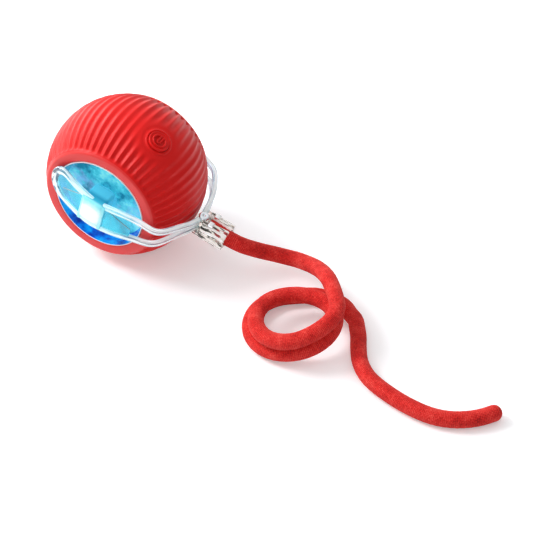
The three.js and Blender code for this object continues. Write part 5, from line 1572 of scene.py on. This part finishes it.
def shell_profile():
    """[radius, height, zone] round the wall of a half."""
    inner_radius = SHELL_RADIUS - SHELL_WALL
    outer = arc(
        SHELL_RADIUS, math.asin(SEAM_HALF / SHELL_RADIUS),
        math.asin(SHOULDER_HEIGHT / SHELL_RADIUS), SHELL_ARC_ROWS,
    )
    inner = arc(
        inner_radius, math.asin(CAVITY_TOP / inner_radius),
        math.asin(SEAM_HALF / inner_radius), SHELL_ARC_ROWS,
    )
    bend = rounded_corner(
        (DISH_RADIUS, DISH_FACE), (DISH_RADIUS, DISH_FACE + RECESS_ROUNDING),
        (DISH_RADIUS - RECESS_ROUNDING, DISH_FACE),
    )
    across = np.linspace(DISH_RADIUS - 1.2, BORE_RADIUS, SHELL_END_ROWS)
    under_rim = LIP_HEIGHT - RIM_ROUNDING
    stretches = {
        "outer wall": (CLEAR, outer),
        "rim": (RIM, [
            (RIM_RADIUS, SHOULDER_HEIGHT), (RIM_RADIUS, under_rim),
            (RIM_RADIUS - RIM_ROUNDING, LIP_HEIGHT), (DISH_RADIUS + RIM_ROUNDING, LIP_HEIGHT),
        ]),
        "side wall": (SIDE, [(DISH_RADIUS, under_rim), (DISH_RADIUS, DISH_FACE + 1.0), *bend]),
        "end wall": (END, [(r, DISH_FACE) for r in across]),
        "boss, back and inner wall": (CLEAR, [
            (BORE_RADIUS, BORE_BOSS_FACE), (BORE_BOSS_RADIUS, BORE_BOSS_FACE),
            (BORE_BOSS_RADIUS, DISH_BACK), (RECESS_RADIUS, DISH_BACK),
            (RECESS_RADIUS, CAVITY_TOP), *inner,
        ]),
    }
    return [(r, y, zone) for zone, points in stretches.values() for r, y in points]


def add_shell(name, side, materials):
    profile = shell_profile()
    points = turned_about_axle([(r, side * y) for r, y, _ in profile], SHELL_SIDES)
    faces = ring_faces(len(profile), SHELL_SIDES, closed_rows=True)
    if side > 0:
        faces = [tuple(reversed(face)) for face in faces]
    zones = [zone for _, _, zone in profile for _ in range(SHELL_SIDES)]
    shell = mesh_object(name, points, faces, materials, zones=zones)
    creased(shell, degrees=40)
    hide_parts(name.replace("lit_", ""))
    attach(shell, "ball")


# Stage: a pale floor that keeps the shadow, and a white surround
FLOOR_HALF = 4000.0
FLOOR_HEIGHT = -0.02
FLOOR_GLOW = 0.30
FLOOR_FAR_GLOW = 0.6
FLOOR_LIT_REACH = 350.0
FLOOR_DARK_REACH = 1000.0


def add_floor():
    material, tree = new_material("pale_floor")
    paths = node(tree, "LightPath").outputs
    # The floor is a little paler to the eye, in metal and through glass than its light is, and
    # paler still to the eye far off, where the lamps don't reach it
    seen = paths["Is Camera Ray"]
    for way in ("Is Glossy Ray", "Is Transmission Ray"):
        seen = node(tree, "Math", [seen, paths[way]], operation="MAXIMUM")
    place = node(tree, "TexCoord").outputs["Object"]
    reach = node(tree, "VectorMath", [place], operation="LENGTH")
    far = node(tree, "MapRange", [
        reach, FLOOR_LIT_REACH * MM, FLOOR_DARK_REACH * MM, 0.0, FLOOR_FAR_GLOW,
    ], interpolation_type="SMOOTHSTEP")
    far = node(tree, "Math", [far, paths["Is Camera Ray"]], operation="MULTIPLY")
    surface = node(tree, "BsdfPrincipled", {
        "Base Color": "f2f4f6", "Roughness": 0.6, "Emission Color": "ffffff",
        "Emission Strength": node(tree, "Math", [seen, FLOOR_GLOW, far], operation="MULTIPLY_ADD"),
    })
    node(tree, "OutputMaterial", [surface])
    corners = [
        (x * FLOOR_HALF, y * FLOOR_HALF, FLOOR_HEIGHT)
        for x, y in ((-1, -1), (1, -1), (1, 1), (-1, 1))
    ]
    floor = mesh_object("floor", corners, [(0, 1, 2, 3)], material, smooth=False)


# How bright the surround is on its dim side, and how much brighter on the lamps' side: as light
# on the toy, and as what its gloss mirrors
SURROUND_LIGHT = (0.44, 0.20)
SURROUND_GLOSS = (0.25, 0.75)
SURROUND_TURN = (-0.4, 0.7)


def add_surround():
    world = bpy.data.worlds.new("surround")
    bpy.context.scene.world = world
    world.use_nodes = True
    tree = world.node_tree
    tree.nodes.clear()
    # The lamps' side of the room is paler than the side across from it
    right, up, back = camera_axes()
    lamp_side = (-right * 0.73 + up * 0.66 + back * 0.18).normalized()
    where = node(tree, "TexCoord").outputs["Generated"]
    facing = node(tree, "VectorMath", [where, lamp_side], operation="DOT_PRODUCT")
    side = node(tree, "MapRange", [facing, *SURROUND_TURN], interpolation_type="SMOOTHSTEP")
    light, gloss = (
        node(tree, "Math", [side, more, dim], operation="MULTIPLY_ADD")
        for dim, more in (SURROUND_LIGHT, SURROUND_GLOSS)
    )
    paths = node(tree, "LightPath").outputs
    shown = node(
        tree, "Math", [paths["Is Camera Ray"], paths["Is Transmission Ray"]], operation="MAXIMUM",
    )
    strength = node(tree, "MapRange", [paths["Is Glossy Ray"], 0.0, 1.0, light, gloss])
    strength = node(tree, "MapRange", [shown, 0.0, 1.0, strength, 1.0])
    node(tree, "OutputWorld", [node(tree, "Background", ["ffffff", strength])])


# Lamps: round and soft, placed along the camera's axes, in millimetres and watts
LIGHT_AIM = Vector((20, 0, 15))
LIGHT_CENTRE = Vector((20, 0, 20))


def add_light(name, place, size, power):
    data = bpy.data.lights.new(name, "AREA")
    data.shape = "DISK"
    data.size = size * MM
    data.energy = power
    light = new_object(name, data)
    light.location = place * MM
    light.rotation_mode = "QUATERNION"
    light.rotation_quaternion = (LIGHT_AIM - place).normalized().to_track_quat("-Z", "Y")


def add_lights():
    right, up, back = camera_axes()
    key = LIGHT_CENTRE - right * 480 + up * 430 + back * 220
    rim = LIGHT_CENTRE - right * 400 + up * 470 - back * 195
    overhead = LIGHT_CENTRE - right * 350 + Vector((0, 0, 750))
    add_light("key", key, size=300, power=3.3)
    add_light("rim", rim, size=350, power=1.5)
    add_light("overhead", overhead, size=600, power=0.7)


# Finishes for the pieces that keep their CAD shape
def dress_nodes():
    # Steel, turned or drawn: a cool grey with a clear reflection
    steel = hard_finish("turned_steel", "9fa3a8", "c9ccd0", 0.22, 1.0)
    # Brass, cut on a gear hobber: yellow and bright
    brass = hard_finish("brass", "b08a3c", "d2ab58", 0.28, 1.0)
    # Acetal, moulded: waxy off-white, and aqua where the lamps shine through the bushes
    acetal = hard_finish("acetal", "e4e2da", "f2f1ec", 0.4)
    lit = hard_finish("lit_acetal", "4fbdd6", "5cc6de", 0.4, lit=0.4)
    # ABS, moulded black: dull, with soft highlights
    black = hard_finish("black_abs", "141517", "222326", 0.45)
    # Glass epoxy under green solder mask: smooth and half glossy
    board = hard_finish("glass_epoxy_board", "144a2b", "1f6b3e", 0.4)
    # Aluminised pouch foil: silvery and a little crumpled
    cell = hard_finish("cell_foil", "a9adb2", "c6cacf", 0.35, 0.7)
    # Epoxy lens of a lamp: white when it is lit
    lamp = hard_finish("led_resin", "d8f6ff", "f4fdff", 0.3)
    finishes = {
        steel: ["drive_axle", "idle_axle", "gear_pin", "motor_shaft", "motor_can",
                "charging_port", "shell_screw_1", "shell_screw_2", "shell_screw_3"],
        brass: ["pinion"],
        lit: ["bush_left", "bush_right"],
        acetal: ["output_gear", "compound_gear", "button_plunger"],
        black: ["chassis_plate", "motor_end_cap", "tact_switch", "control_chip"],
        board: ["circuit_board"],
        cell: ["battery"],
        lamp: ["led_left_1", "led_left_2", "led_right_1", "led_right_2"],
    }
    for material, names in finishes.items():
        for name in names:
            in_one_material(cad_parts[name], material)


bpy.context.scene.view_settings.view_transform = "Standard"
add_camera()
add_floor()
add_surround()
add_lights()
add_rope(braided_polyester())
silicone = silicone_rubber("silicone_rubber", 0.22, 0.08)
add_sleeve(silicone, silicone_rubber("silicone_rubber_lip", 0.6, 0.25))
add_button_surround(silicone)
add_button(silicone)
shell_finishes = [
    clear_polycarbonate("clear_polycarbonate_shell", "d8f4ff", "ffffff", 0.05, 0.95),
    # The shell's polished rim: almost white, because it gathers the light of the walls
    hard_finish("polycarbonate_rim", "f0e4e8", "ffffff", 0.2),
    lit_side_wall(),
    lit_end_wall(),
]
add_shell("lit_shell_left", -1, shell_finishes)
add_shell("lit_shell_right", 1, shell_finishes)
yoke_finishes = {
    "rails": rail_polycarbonate(line_lengths(rail_line(Arm())[0])[-1] / 2),
    # The thin web carries the lamps' aqua light across itself
    "web": clear_polycarbonate(
        "clear_polycarbonate_web", "3fc4d6", "7fe0ea", 0.03, 0.85, lit=0.18,
    ),
    # A step in clear plastic bends the light away, so it is drawn as a dark line: painted
    # refraction
    "bead": hard_finish("painted_refraction_polycarbonate", "4f7480", "b8d8de", 0.12),
    "hub": hub_polycarbonate(),
    "clamp": clamp_polycarbonate(),
    # The clamp's catch is polycarbonate polished like a mirror
    "latch": hard_finish("polished_latch", "eceef2", "ffffff", 0.06, 0.8),
}
add_yoke(-1, "left", yoke_finishes)
add_yoke(1, "right", yoke_finishes)
# Hinge pin: stainless steel, polished, so it shows as one bright spot
add_pin(hard_finish("polished_steel", "dde2ea", "f8fafd", 0.06, 1.0))
dress_nodes()
